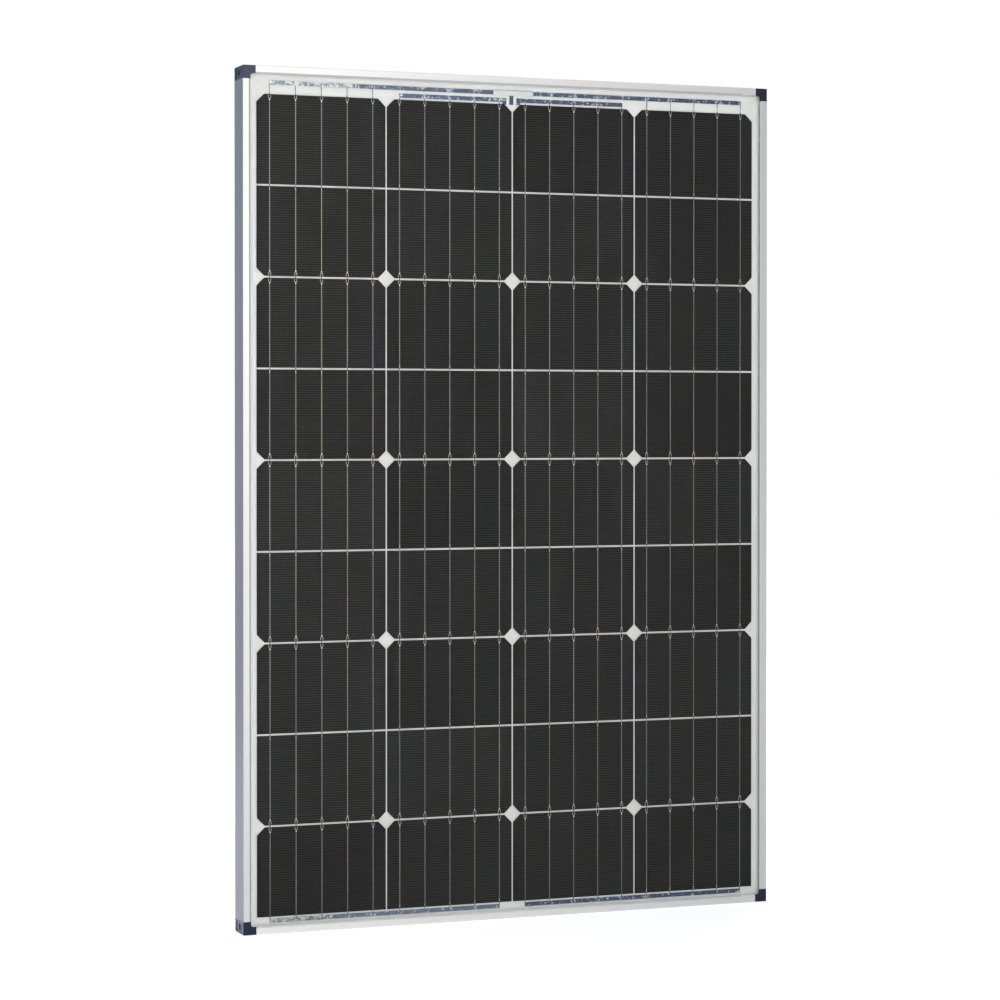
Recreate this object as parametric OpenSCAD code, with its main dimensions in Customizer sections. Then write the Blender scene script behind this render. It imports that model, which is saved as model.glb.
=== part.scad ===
// Framed photovoltaic panel: aluminium rails on plastic corner keys, a glass laminate
// with four strings of cut cells, and a junction box on the back.
// It stands on its bottom rail, with X across, Y from the glass to the back and Z up.
// The origin is under the middle of the panel, halfway through the frame's depth.

/* [Cells] */
// Width of a cell
cell_w = 156.75; // [125:0.25:182]
// Height of a cell, cut from a square wafer
cell_h = 103.7; // [78:0.1:156]
// Thickness of a cell
cell_t = 0.2; // [0.15:0.01:0.4]
// Diameter of the round ingot that clips the wafer's corners
wafer_d = 209; // [200:0.5:225]
// Rows of cells in each string
cell_rows = 9; // [4:1:12]
// Gap between neighbouring strings
string_gap = 1.7; // [1:0.1:5]
// Gap between neighbouring cells of a string
row_gap = 2; // [1:0.1:5]
// From the frame's outer side face to the cells
side_margin = 17.95; // [14:0.05:40]
// From the frame's top face to the cells
top_margin = 31.8; // [29:0.1:60]
// From the frame's bottom face to the cells
bottom_margin = 18.9; // [17.5:0.1:50]

/* [Ribbons] */
// Ribbons on each cell
ribbons_per_cell = 5; // [3:1:6]
// Width of a cell ribbon
ribbon_w = 1.1; // [0.7:0.1:2]
// Thickness of every ribbon
ribbon_t = 0.2; // [0.12:0.02:0.35]
// How far a ribbon stops short of a cell's far edge
ribbon_inset = 4.5; // [2:0.5:10]
// Width of a collecting ribbon
bus_w = 5; // [3:0.5:6]
// How far a cell ribbon laps onto a collecting ribbon
bus_lap = 3; // [1:0.5:3]
// From the top row of cells to the lower collecting ribbons
lower_bus_gap = 2.3; // [1.5:0.1:4]
// From the lower collecting ribbons to the upper one
upper_bus_gap = 3.6; // [2:0.1:5]
// From the bottom row of cells to the bottom collecting ribbons
bottom_bus_gap = 1.9; // [1:0.1:3]
// Distance between the leads that go through to the back
lead_pitch = 8.9; // [8:0.1:12]
// Offset of the middle lead from the middle of the panel
lead_shift = -1.1; // [-5:0.1:5]
// How far the leads reach below the top edge of the cells
lead_drop = 0.6; // [0:0.1:3]
// Height of a lead's fold above its lower end
tail_rise = 1; // [0.6:0.1:2]
// Room around a lead where it passes through the back
slit_clear = 0.3; // [0.1:0.05:0.6]
// Width of the strip that covers the middle of the upper ribbon
strip_w = 50.5; // [30:0.5:120]
// Height of the strip
strip_h = 6.4; // [5.5:0.1:9]
// Offset of the strip from the middle of the panel
strip_shift = 1.4; // [-10:0.1:10]

/* [Laminate] */
// Thickness of the front glass
glass_t = 3.2; // [2:0.1:4]
// Thickness of each sheet of encapsulant
encapsulant_t = 0.45; // [0.3:0.05:0.7]
// Thickness of the backsheet
backsheet_t = 0.35; // [0.2:0.05:0.6]
// Thickness of the edge seal on each face of the laminate
seal_t = 0.6; // [0.3:0.1:1.2]
// Thickness of the edge seal around the laminate's rim
seal_rim = 1.5; // [0.8:0.1:3]
// How far the seal stays hidden behind the lip's edge
seal_setback = 1.2; // [0.5:0.1:2.5]

/* [Frame] */
// Depth of the frame, front to back
frame_d = 35; // [33:0.5:50]
// Wall thickness of the rails
frame_wall = 1.4; // [1:0.1:2.2]
// Width of the front lip
lip_w = 9.2; // [7:0.1:11]
// Thickness of the front lip
lip_t = 1.6; // [1.4:0.1:2.4]
// Width of the bevel on the lip's inner edge
bevel_w = 1.6; // [0.8:0.1:2.5]
// Depth of that bevel
bevel_d = 1.2; // [0.5:0.1:1.3]
// Width of the hollow that takes the corner keys
chamber_w = 9; // [7:0.1:10]
// Depth of that hollow
chamber_d = 11; // [8:0.1:12]
// Width of the rear flange on the side rails
side_flange_w = 25; // [22:0.5:35]
// Thickness of the rear flanges
flange_t = 1.6; // [1.2:0.1:2.5]
// Gap between the flanges where a short rail meets a side rail
flange_gap = 0.5; // [0.2:0.1:2]
// Rounding of the frame's outer edges
edge_r = 0.6; // [0.3:0.1:1.2]

/* [Corner keys] */
// Size of the key's visible square
cap_size = 15.5; // [13.5:0.5:22]
// Rounding of the key's outer corner
cap_corner_r = 1; // [0.5:0.1:2]
// Rounding of the notch where the key clears the glass
cap_notch_r = 3.5; // [1:0.5:4]
// Length of each leg inside a rail
leg_l = 32; // [20:1:50]
// Room around a leg inside the rail
leg_clear = 0.35; // [0.2:0.05:0.6]
// Room between a leg's teeth and the rail
tooth_clear = 0.05; // [0.02:0.01:0.1]
// Teeth along each side of a leg
tooth_count = 5; // [3:1:6]
// Length of a tooth's slope
tooth_l = 3; // [2:0.1:4]
// Slope at the tip of a leg
leg_lead = 1.5; // [0.5:0.1:2.5]
// Length of the recess in each outer face of a key
recess_l = 24; // [8:0.5:26]
// Width of that recess
recess_w = 11.5; // [4:0.5:12]
// Depth of that recess
recess_t = 0.6; // [0.3:0.1:0.8]
// From the recess's front end to the pocket in its floor
pocket_gap = 3.5; // [1:0.5:6]
// Length of the pocket
pocket_l = 12; // [5:0.5:13]
// Width of the pocket
pocket_w = 7; // [3:0.5:8]
// Depth of the pocket below the recess
pocket_t = 0.5; // [0.2:0.1:0.6]

/* [Mounting] */
// Diameter of the mounting holes
mount_hole_d = 7; // [5:0.1:9]
// From the frame's side face to the holes
mount_inset = 17.5; // [16:0.1:18]
// Distance between the mounting holes on one rail
mount_spacing = 500; // [200:10:700]
// Diameter of the grounding holes
ground_hole_d = 4.2; // [3:0.1:6]
// Diameter of the drain holes
drain_hole_d = 5; // [3:0.1:6]
// From the end of a short rail to its drain hole
drain_inset = 60; // [20:1:150]

/* [Junction box] */
// Width of the box
box_w = 100; // [90:1:130]
// Height of the box
box_h = 84; // [76:1:120]
// Depth of the box up to its rim
box_depth = 19; // [18:0.5:20]
// Wall thickness of the box
box_wall = 2.6; // [2.2:0.1:3.2]
// Floor thickness of the box
floor_t = 2.2; // [1.6:0.1:3]
// Rounding of the box's upright corners
box_corner_r = 5; // [4.5:0.5:8]
// Thickness of the glue under the box
pad_t = 0.8; // [0.4:0.1:1.2]
// How far the glue stays inside the box's outline
pad_inset = 3; // [1:0.5:6]
// Width of the window that lets the leads in
window_w = 30; // [27:0.5:36]
// Height of that window
window_h = 6; // [4:0.5:10]
// From the window to the inside of the top wall
window_edge = 3; // [1:0.5:8]
// Thickness of the lid
lid_t = 2.4; // [1.8:0.1:2.8]
// Border around the lid's sunk field
lid_border = 9; // [7:0.5:14]
// Depth of the lid's sunk field
lid_sink = 0.6; // [0.3:0.1:1]
// Height of the lid's tongue inside the box
tongue_h = 2; // [1:0.1:2.2]
// Thickness of the tongue
tongue_t = 1.6; // [1.2:0.1:2.4]
// Room between the tongue and the wall
tongue_clear = 0.4; // [0.3:0.05:0.8]
// Width of the lid's thumb tab
tab_w = 16; // [8:0.5:30]
// How far the thumb tab stands out
tab_l = 3; // [1.5:0.1:6]
// Width of the lid gasket
gasket_w = 1; // [0.7:0.1:1.2]
// Height of the lid gasket
gasket_h = 0.8; // [0.5:0.1:1.5]

/* [Lid hinge] */
// Outer radius of a hinge knuckle
knuckle_r = 3; // [2.5:0.1:3.6]
// Length of each outer knuckle
knuckle_l = 10; // [6:0.5:14]
// Length of the whole hinge
hinge_l = 46; // [36:1:60]
// Gap between the hinge and the parts beside it
hinge_gap = 0.3; // [0.2:0.05:0.6]
// Radius of the hinge pin
pin_r = 1.2; // [0.9:0.1:1.5]
// Running clearance of the lid on its pin
pin_clear = 0.05; // [0.02:0.01:0.1]

/* [Terminals] */
// Thickness of a terminal plate
plate_t = 0.8; // [0.5:0.1:1.2]
// Width of a terminal plate under its lead
plate_w = 6.4; // [5.5:0.1:7]
// Height of the posts that carry the plates
post_h = 2; // [1:0.1:3]
// Width of a terminal's wire clamp
clamp_w = 10; // [8:0.5:12]
// Depth of a wire clamp on its plate
clamp_h = 9; // [8:0.1:9.5]
// Radius of the wire hole
wire_r = 2.2; // [1.5:0.1:2.6]
// From the bottom of the box to the wire clamps
clamp_rise = 24; // [20:0.5:28]
// From the bottom of the box to the diodes
diode_rise = 46; // [42:0.5:48]
// From the bottom of the box to the bars of the outer plates
bar_rise = 56; // [54:0.5:60]
// Height of those bars
bar_h = 6; // [4:0.5:8]
// Radius of a diode's body
diode_r = 4; // [3:0.1:4.4]
// Length of a diode's body
diode_l = 9.5; // [7:0.1:12]
// Radius of a diode's wires
diode_wire_r = 0.6; // [0.4:0.05:0.8]
// Height of the ears that hold the diodes
ear_h = 8; // [6:0.1:9]
// Radius of a clamp screw's shank
screw_r = 1.75; // [1.2:0.05:2]
// Room around the shank
screw_clear = 0.1; // [0.05:0.01:0.2]
// Radius of a screw's head
screw_head_r = 3; // [2.4:0.1:4]
// Thickness of a screw's head
screw_head_t = 2; // [1.5:0.1:2.4]
// Width of the screwdriver slot
screw_slot_w = 0.9; // [0.6:0.1:1.2]

/* [Cable glands] */
// From the side of the box to a gland's middle
gland_x = 24; // [18:0.5:27]
// Radius of a gland's thread
thread_r = 6; // [5.5:0.1:6.5]
// Room around the thread in the box's wall
thread_clear = 0.1; // [0.05:0.01:0.2]
// Running clearance of the nut on the thread
nut_clear = 0.05; // [0.02:0.01:0.1]
// Length of the gland inside the wall
gland_inner_l = 3; // [1:0.5:6]
// Thickness of the gland's hexagon
gland_hex_t = 4; // [3:0.1:6]
// Size of the hexagon across its flats
gland_hex_w = 15; // [14:0.1:16]
// Length of the thread below the hexagon
gland_thread_l = 8; // [6:0.1:12]
// Radius of the gland's inside
gland_bore_r = 4.4; // [4.2:0.1:4.8]
// Radius of the cable hole in the seal
cable_r = 3; // [2.5:0.05:3.5]
// Length of the seal
seal_l = 9; // [6:0.1:11]
// Size of the nut across its flats
nut_w = 14.6; // [13.8:0.1:16]
// Thickness of the nut's end wall
nut_end_t = 2; // [1:0.1:3]
// Gap above the nut
nut_gap = 0.4; // [0.2:0.1:1]
// How much wider than the cable the nut's mouth is
nut_mouth = 0.6; // [0.3:0.1:1]

/* [Hidden] */
$fn = 64;

// Cuts run this far past the faces that they open
over = 1;

// Number of strings, side by side, and the pitch of the cells
strings = 4;
string_pitch = cell_w + string_gap;
row_pitch = cell_h + row_gap;

// Overall size, from the cells and their margins
panel_w = strings * string_pitch - string_gap + 2 * side_margin;
panel_h = cell_rows * row_pitch - row_gap + top_margin + bottom_margin;
cell_top = panel_h - top_margin;

// Depths behind the frame's front face, from front to back
glass_front = lip_t + seal_t;
glass_rear = glass_front + glass_t;
ribbon_front = glass_rear + encapsulant_t;
cell_front = ribbon_front + ribbon_t;
cell_rear = cell_front + cell_t;
ribbon_rear = cell_rear + ribbon_t;
sheet_front = ribbon_rear + encapsulant_t;
sheet_rear = sheet_front + backsheet_t;
slot_rear = sheet_rear + seal_t;
chamber_front = slot_rear + frame_wall;
chamber_rear = chamber_front + chamber_d;
tube_rear = chamber_rear + frame_wall;
flange_front = frame_d - flange_t;

// Widths measured inwards from the frame's outer faces
tube_w = chamber_w + 2 * frame_wall;
laminate_inset = frame_wall + seal_rim;
seal_reach = lip_w - seal_setback;
short_flange_w = cap_size - flange_gap;

// Heights of the collecting ribbons' lower edges, and of the leads
lower_bus_z = cell_top + lower_bus_gap;
upper_bus_z = lower_bus_z + bus_w + upper_bus_gap;
bottom_bus_z = bottom_margin - bottom_bus_gap - bus_w;
lead_bottom = cell_top - lead_drop;
tail_z = lead_bottom + tail_rise;

// Junction box: place, depths and hinge axis
box_x = lead_shift;
floor_front = sheet_rear + pad_t;
floor_rear = floor_front + floor_t;
box_rim = floor_front + box_depth;
lid_rear = box_rim + lid_t;
window_mid = tail_z + ribbon_t / 2;
box_top = window_mid + window_h / 2 + window_edge + box_wall;
box_bottom = box_top - box_h;
box_mid = box_bottom + box_h / 2;
box_side = box_x - box_w / 2;
hinge_x = box_side - hinge_gap - knuckle_r;
gasket_inset = (box_wall - gasket_w) / 2;
tongue_inset = box_wall + tongue_clear;

// Terminals
plate_front = floor_rear + post_h;
plate_rear = plate_front + plate_t;
clamp_rear = plate_rear + clamp_h;
clamp_z = box_bottom + clamp_rise;
diode_z = box_bottom + diode_rise;
diode_depth = plate_rear + ear_h / 2;
bar_z = box_bottom + bar_rise;
plate_top = tail_z + ribbon_t + over;

// Glands
gland_off = box_w / 2 - gland_x;
gland_depth = floor_front + box_depth / 2;
gland_hex_end = box_bottom - gland_hex_t;
gland_end = gland_hex_end - gland_thread_l;
nut_top = gland_hex_end - nut_gap;
nut_inner_end = gland_end - nut_gap;
nut_bottom = nut_inner_end - nut_end_t;

function string_x(s) = -panel_w / 2 + side_margin + (s - 1) * string_pitch;
function ribbon_x(s, k) = string_x(s) + cell_w * (k + 0.5) / ribbons_per_cell;
function cell_z(r) = cell_top - cell_h - r * row_pitch;
function lead_x(i) = lead_shift + i * lead_pitch;
function goes_down(s) = s % 2 == 1;
function top_bus_z(s) = s == 1 || s == strings ? upper_bus_z : lower_bus_z;
function hex_r(across_flats) = across_flats / sqrt(3);

// An upright outline, drawn in X and Z, made solid between two depths behind the front
module slab(from, to) {
    translate([0, to - frame_d / 2, 0])
        rotate([90, 0, 0])
            linear_extrude(to - from)
                children();
}

// A rod along Y between two depths
module rod(x, z, from, to, r) {
    translate([x, from - frame_d / 2, z])
        rotate([-90, 0, 0])
            cylinder(h = to - from, r = r);
}

// An upright rod at one depth behind the front
module post(x, depth, from_z, to_z, r) {
    translate([x, depth - frame_d / 2, from_z])
        cylinder(h = to_z - from_z, r = r);
}

// What comes off a square corner at the origin to round it
module corner_cut(r) {
    difference() {
        translate([-over, -over]) square(r + over);
        translate([r, r]) circle(r);
    }
}

module rounded_square(size, r) {
    difference() {
        square(size);
        corner_cut(r);
        translate([size.x, 0]) mirror([1, 0]) corner_cut(r);
        translate([0, size.y]) mirror([0, 1]) corner_cut(r);
        translate(size) rotate(180) corner_cut(r);
    }
}

// The panel's outline, drawn in by a distance from the frame's outer faces
module panel_outline(inset) {
    translate([inset - panel_w / 2, inset])
        square([panel_w - 2 * inset, panel_h - 2 * inset]);
}

// Frame

// Section of a rail: inwards from the outer face, and back from the front face
module rail_section(flange_w) {
    difference() {
        union() {
            square([frame_wall, frame_d]);
            polygon([[0, 0], [lip_w - bevel_w, 0], [lip_w, bevel_d], [lip_w, lip_t], [0, lip_t]]);
            translate([0, slot_rear]) square([tube_w, tube_rear - slot_rear]);
            translate([0, flange_front]) square([flange_w, flange_t]);
        }
        translate([frame_wall, chamber_front]) square([chamber_w, chamber_d]);
        corner_cut(edge_r);
        translate([0, frame_d]) mirror([0, 1]) corner_cut(edge_r);
    }
}

module rail(length, flange_w) {
    translate([0, -frame_d / 2, 0])
        linear_extrude(length, center = true)
            rail_section(flange_w);
}

module flange_hole(x, z, d) {
    rod(x, z, flange_front - over, frame_d + over, d / 2);
}

module left_rail() {
    hole_x = mount_inset - panel_w / 2;
    color("gainsboro")
        difference() {
            translate([-panel_w / 2, 0, panel_h / 2])
                rail(panel_h - 2 * cap_size, side_flange_w);
            for (side = [-1, 1])
                flange_hole(hole_x, panel_h / 2 + side * mount_spacing / 2, mount_hole_d);
            flange_hole(hole_x, panel_h / 2, ground_hole_d);
        }
}

module right_rail() {
    mirror([1, 0, 0]) left_rail();
}

module bottom_rail() {
    hole_x = panel_w / 2 - cap_size - drain_inset;
    color("gainsboro")
        difference() {
            rotate([0, -90, 0]) rail(panel_w - 2 * cap_size, short_flange_w);
            for (side = [-1, 1])
                flange_hole(side * hole_x, short_flange_w / 2, drain_hole_d);
        }
}

module top_rail() {
    translate([0, 0, panel_h]) mirror([0, 0, 1]) bottom_rail();
}

// Corner keys, drawn at the bottom left corner

module cap_square() {
    difference() {
        square(cap_size);
        corner_cut(cap_corner_r);
    }
}

// Front face of a key, notched where the glass shows
module cap_front() {
    difference() {
        cap_square();
        translate([lip_w, lip_w]) {
            translate([cap_notch_r, 0]) square(cap_size);
            translate([0, cap_notch_r]) square(cap_size);
            translate([cap_notch_r, cap_notch_r]) circle(cap_notch_r);
        }
    }
}

// The two outer walls of a key
module cap_walls() {
    difference() {
        cap_square();
        translate([frame_wall, frame_wall]) square(cap_size);
    }
}

// The solid bend of a key, as wide as a rail's tube
module cap_bend() {
    intersection() {
        cap_square();
        union() {
            square([tube_w, cap_size]);
            square([cap_size, tube_w]);
        }
    }
}

// Leg with teeth that slope towards its tip, along Y from the key
module leg_outline() {
    half = chamber_w / 2 - leg_clear;
    tip = chamber_w / 2 - tooth_clear;
    step = (leg_l - leg_lead) / tooth_count;
    teeth = [
        for (i = [0 : tooth_count - 1])
            each [[half, i * step + over], [tip, i * step + over], [half, i * step + over + tooth_l]]
    ];
    edge = concat([[half, -over]], teeth, [[half, leg_l - leg_lead], [half - leg_lead, leg_l]]);
    last = len(edge) - 1;
    polygon(concat(edge, [for (i = [last : -1 : 0]) [-edge[i].x, edge[i].y]]));
}

module key_legs() {
    middle = frame_wall + chamber_w / 2;
    slab(chamber_front + leg_clear, chamber_rear - leg_clear) {
        translate([middle, cap_size]) leg_outline();
        translate([cap_size, middle]) rotate(-90) leg_outline();
    }
}

// Section that rounds a key's front and rear edges on one side
module edge_section(reach) {
    difference() {
        square([reach, frame_d]);
        corner_cut(edge_r);
        translate([0, frame_d]) mirror([0, 1]) corner_cut(edge_r);
    }
}

// Recess in a key's side face, with a deeper pocket near its front end
module key_recess() {
    recess_y = -recess_l / 2;
    translate([-over, recess_y, (cap_size - recess_w) / 2])
        cube([over + recess_t, recess_l, recess_w]);
    translate([-over, recess_y + pocket_gap, (cap_size - pocket_w) / 2])
        cube([over + recess_t + pocket_t, pocket_l, pocket_w]);
}

module corner_key() {
    reach = cap_size + leg_l + over;
    color("darkslategray")
        difference() {
            intersection() {
                union() {
                    slab(0, lip_t) cap_front();
                    slab(0, frame_d) cap_walls();
                    slab(slot_rear, tube_rear) cap_bend();
                    slab(flange_front, frame_d) cap_square();
                    key_legs();
                }
                translate([0, -frame_d / 2, 0])
                    linear_extrude(reach) edge_section(reach);
                translate([reach, -frame_d / 2, 0])
                    rotate([0, -90, 0])
                        linear_extrude(reach) edge_section(reach);
            }
            key_recess();
            mirror([1, 0, -1]) key_recess();
        }
}

module corner_key_bottom_left() {
    translate([-panel_w / 2, 0, 0]) corner_key();
}

module corner_key_bottom_right() {
    mirror([1, 0, 0]) corner_key_bottom_left();
}

module corner_key_top_left() {
    translate([0, 0, panel_h]) mirror([0, 0, 1]) corner_key_bottom_left();
}

module corner_key_top_right() {
    mirror([1, 0, 0]) corner_key_top_left();
}

// Laminate

module edge_seal() {
    color("white")
        difference() {
            slab(lip_t, slot_rear) panel_outline(frame_wall);
            slab(glass_front, sheet_rear) panel_outline(laminate_inset);
            slab(lip_t - over, slot_rear + over) panel_outline(seal_reach);
        }
}

module front_glass() {
    color("lightcyan", 0.3)
        slab(glass_front, glass_rear) panel_outline(laminate_inset);
}

module front_encapsulant() {
    color("white", 0.2)
        slab(glass_rear, ribbon_front) panel_outline(laminate_inset);
}

// Openings for the three leads
module lead_slits() {
    for (i = [-1 : 1])
        translate([lead_x(i) - bus_w / 2 - slit_clear, tail_z - slit_clear])
            square([bus_w + 2 * slit_clear, ribbon_t + 2 * slit_clear]);
}

module rear_encapsulant() {
    color("white", 0.2)
        slab(ribbon_rear, sheet_front)
            difference() {
                panel_outline(laminate_inset);
                lead_slits();
            }
}

module backsheet() {
    color("white")
        slab(sheet_front, sheet_rear)
            difference() {
                panel_outline(laminate_inset);
                lead_slits();
            }
}

// Cells

// A cut cell, clipped by the round ingot at its top or at its bottom corners
module cell_outline(clip_top) {
    ingot_z = clip_top ? cell_h - cell_w / 2 : cell_w / 2;
    intersection() {
        square([cell_w, cell_h]);
        translate([cell_w / 2, ingot_z]) circle(d = wafer_d);
    }
}

module cell_string(s) {
    color([0.13, 0.13, 0.14])
        slab(cell_front, cell_rear)
            for (r = [0 : cell_rows - 1])
                translate([string_x(s), cell_z(r)])
                    cell_outline(r % 2 == 0);
}

module cell_string_1() {
    cell_string(1);
}

module cell_string_2() {
    cell_string(2);
}

module cell_string_3() {
    cell_string(3);
}

module cell_string_4() {
    cell_string(4);
}

// Ribbons

// Side view of a ribbon, in height and depth: on one cell's front from a to b,
// through the gap, and on the next cell's back from c to d
function link_side(a, b, c, d) = [
    [a, ribbon_front], [b, ribbon_front], [c, cell_rear], [d, cell_rear],
    [d, ribbon_rear], [c, ribbon_rear], [b, cell_front], [a, cell_front]
];
function front_side(a, b) = [[a, ribbon_front], [b, ribbon_front], [b, cell_front], [a, cell_front]];
function rear_side(a, b) = [[a, cell_rear], [b, cell_rear], [b, ribbon_rear], [a, ribbon_rear]];

// A ribbon whose front half runs down from row r
function down_ribbon(r) =
    let (low = cell_z(r), start = low + cell_h - ribbon_inset)
    r < cell_rows - 1
        ? link_side(start, low, low - row_gap, low - row_pitch + ribbon_inset)
        : front_side(start, bottom_bus_z + bus_w - bus_lap);

// A ribbon whose front half runs up from row r
function up_ribbon(r, bus_z) =
    let (low = cell_z(r), start = low + ribbon_inset, high = low + cell_h)
    r > 0
        ? link_side(start, high, high + row_gap, high + row_pitch - ribbon_inset)
        : front_side(start, bus_z + bus_lap);

// The ribbon on the back of the cell at the other end of a string
function end_ribbon(s) =
    goes_down(s)
        ? rear_side(cell_z(0) + ribbon_inset, top_bus_z(s) + bus_lap)
        : rear_side(cell_z(cell_rows - 1) + cell_h - ribbon_inset, bottom_bus_z + bus_w - bus_lap);

module ribbon(x, side_view) {
    translate([x, -frame_d / 2, 0])
        rotate([0, -90, 0])
            linear_extrude(ribbon_w, center = true)
                polygon(side_view);
}

module string_ribbons(s) {
    color("tan")
        for (k = [0 : ribbons_per_cell - 1]) {
            for (r = [0 : cell_rows - 1])
                ribbon(ribbon_x(s, k), goes_down(s) ? down_ribbon(r) : up_ribbon(r, top_bus_z(s)));
            ribbon(ribbon_x(s, k), end_ribbon(s));
        }
}

module string_ribbons_1() {
    string_ribbons(1);
}

module string_ribbons_2() {
    string_ribbons(2);
}

module string_ribbons_3() {
    string_ribbons(3);
}

module string_ribbons_4() {
    string_ribbons(4);
}

// A collecting ribbon between two places along X, in the layer of the cells
module bus(from_x, to_x, z) {
    color("slategray")
        slab(cell_front, cell_rear)
            translate([from_x, z])
                square([to_x - from_x, bus_w]);
}

// Outer edges of a string's first and last ribbons
function first_edge(s) = ribbon_x(s, 0) - ribbon_w / 2;
function last_edge(s) = ribbon_x(s, ribbons_per_cell - 1) + ribbon_w / 2;

module upper_bus() {
    bus(first_edge(1), last_edge(strings), upper_bus_z);
}

module left_bus() {
    bus(first_edge(2), lead_x(-1) + bus_w / 2, lower_bus_z);
}

module right_bus() {
    bus(lead_x(1) - bus_w / 2, last_edge(3), lower_bus_z);
}

module bottom_bus_left() {
    bus(first_edge(1), last_edge(2), bottom_bus_z);
}

module bottom_bus_right() {
    bus(first_edge(3), last_edge(strings), bottom_bus_z);
}

// A lead behind a collecting ribbon, folded back through its slit to a terminal
module lead(i, bus_z) {
    left = lead_x(i) - bus_w / 2;
    color("slategray") {
        slab(cell_rear, ribbon_rear)
            translate([left, lead_bottom])
                square([bus_w, bus_z + bus_w - lead_bottom]);
        slab(cell_rear, plate_front)
            translate([left, tail_z])
                square([bus_w, ribbon_t]);
    }
}

module lead_left() {
    lead(-1, lower_bus_z);
}

module lead_centre() {
    lead(0, upper_bus_z);
}

module lead_right() {
    lead(1, lower_bus_z);
}

module cover_strip() {
    color("whitesmoke")
        slab(ribbon_front, cell_front)
            translate([strip_shift - strip_w / 2, upper_bus_z + (bus_w - strip_h) / 2])
                square([strip_w, strip_h]);
}

// Junction box

module box_outline(inset) {
    translate([box_side + inset, box_bottom + inset])
        rounded_square([box_w - 2 * inset, box_h - 2 * inset], box_corner_r - inset / 2);
}

module box_ring(inset, width) {
    difference() {
        box_outline(inset);
        box_outline(inset + width);
    }
}

module lead_window() {
    translate([box_x - window_w / 2, window_mid - window_h / 2])
        square([window_w, window_h]);
}

module box_adhesive() {
    color("gray")
        slab(sheet_rear, floor_front)
            difference() {
                box_outline(pad_inset);
                lead_window();
            }
}

// A knuckle of the lid's hinge, with the web that ties it to the box or the lid
module knuckle(from_z, length, web_front, web_rear) {
    post(hinge_x, box_rim, from_z, from_z + length, knuckle_r);
    translate([hinge_x, web_front - frame_d / 2, from_z])
        cube([box_side - hinge_x + gasket_inset, web_rear - web_front, length]);
}

// Posts under the terminal plates
module terminal_posts() {
    size = clamp_w / 2;
    slab(floor_rear - over, plate_front) {
        for (side = [-1, 1], z = [clamp_z + clamp_w / 2, bar_z + bar_h / 2])
            translate([box_x + side * gland_off - size / 2, z - size / 2])
                square(size);
        translate([box_x - size / 2, diode_z - size / 2])
            square(size);
    }
}

module junction_box_base() {
    hinge_low = box_mid - hinge_l / 2;
    color("dimgray") {
        difference() {
            union() {
                slab(floor_front, box_rim) box_outline(0);
                for (z = [hinge_low, hinge_low + hinge_l - knuckle_l])
                    knuckle(z, knuckle_l, box_rim - knuckle_r, box_rim);
            }
            slab(floor_rear, box_rim + over) box_outline(box_wall);
            slab(box_rim - gasket_h, box_rim + over) box_ring(gasket_inset, gasket_w);
            slab(floor_front - over, floor_rear + over) lead_window();
            for (side = [-1, 1])
                post(box_x + side * gland_off, gland_depth, box_bottom - over,
                    box_bottom + box_wall + over, thread_r + thread_clear);
            post(hinge_x, box_rim, hinge_low - over, hinge_low + hinge_l + over, pin_r);
        }
        terminal_posts();
    }
}

module junction_box_lid() {
    knuckle_low = box_mid - hinge_l / 2 + knuckle_l + hinge_gap;
    knuckle_length = hinge_l - 2 * (knuckle_l + hinge_gap);
    color("dimgray")
        difference() {
            union() {
                slab(box_rim, lid_rear) {
                    box_outline(0);
                    translate([box_side + box_w - over, box_mid - tab_w / 2])
                        square([tab_l + over, tab_w]);
                }
                slab(box_rim - tongue_h, box_rim + over) box_ring(tongue_inset, tongue_t);
                knuckle(knuckle_low, knuckle_length, box_rim, lid_rear);
            }
            slab(lid_rear - lid_sink, lid_rear + over) box_outline(lid_border);
            post(hinge_x, box_rim, knuckle_low - over, knuckle_low + knuckle_length + over,
                pin_r + pin_clear);
        }
}

module lid_gasket() {
    color("black")
        slab(box_rim - gasket_h, box_rim) box_ring(gasket_inset, gasket_w);
}

module hinge_pin() {
    color("silver")
        post(hinge_x, box_rim, box_mid - hinge_l / 2, box_mid + hinge_l / 2, pin_r);
}

// Terminals

// An upright ear on a plate, at one side of a place along X
module ear(x) {
    slab(plate_front, plate_rear + ear_h)
        translate([x, diode_z - ear_h / 2])
            square([plate_t, ear_h]);
}

module terminal_centre() {
    left = lead_x(0) - plate_w / 2;
    color("goldenrod") {
        slab(plate_front, plate_rear)
            translate([left, diode_z - ear_h / 2])
                square([plate_w, plate_top - diode_z + ear_h / 2]);
        ear(left);
        ear(left + plate_w - plate_t);
    }
}

// An outer terminal on the right: finger under the lead, bar, column and wire clamp
module outer_terminal() {
    clamp_left = gland_off - clamp_w / 2;
    finger_left = lead_pitch - plate_w / 2;
    color("goldenrod")
        translate([box_x, 0, 0])
            difference() {
                union() {
                    slab(plate_front, plate_rear) {
                        translate([finger_left, bar_z])
                            square([plate_w, plate_top - bar_z]);
                        translate([finger_left, bar_z])
                            square([clamp_left + clamp_w - finger_left, bar_h]);
                        translate([clamp_left, clamp_z])
                            square([clamp_w, bar_z + bar_h - clamp_z]);
                    }
                    slab(plate_front, clamp_rear)
                        translate([clamp_left, clamp_z])
                            square(clamp_w);
                    ear(clamp_left);
                }
                post(gland_off, gland_depth, clamp_z - over, clamp_z + clamp_w + over, wire_r);
                rod(gland_off, clamp_z + clamp_w / 2, gland_depth, clamp_rear + over,
                    screw_r + screw_clear);
            }
}

module terminal_right() {
    outer_terminal();
}

module terminal_left() {
    translate([2 * box_x, 0, 0]) mirror([1, 0, 0]) outer_terminal();
}

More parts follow.
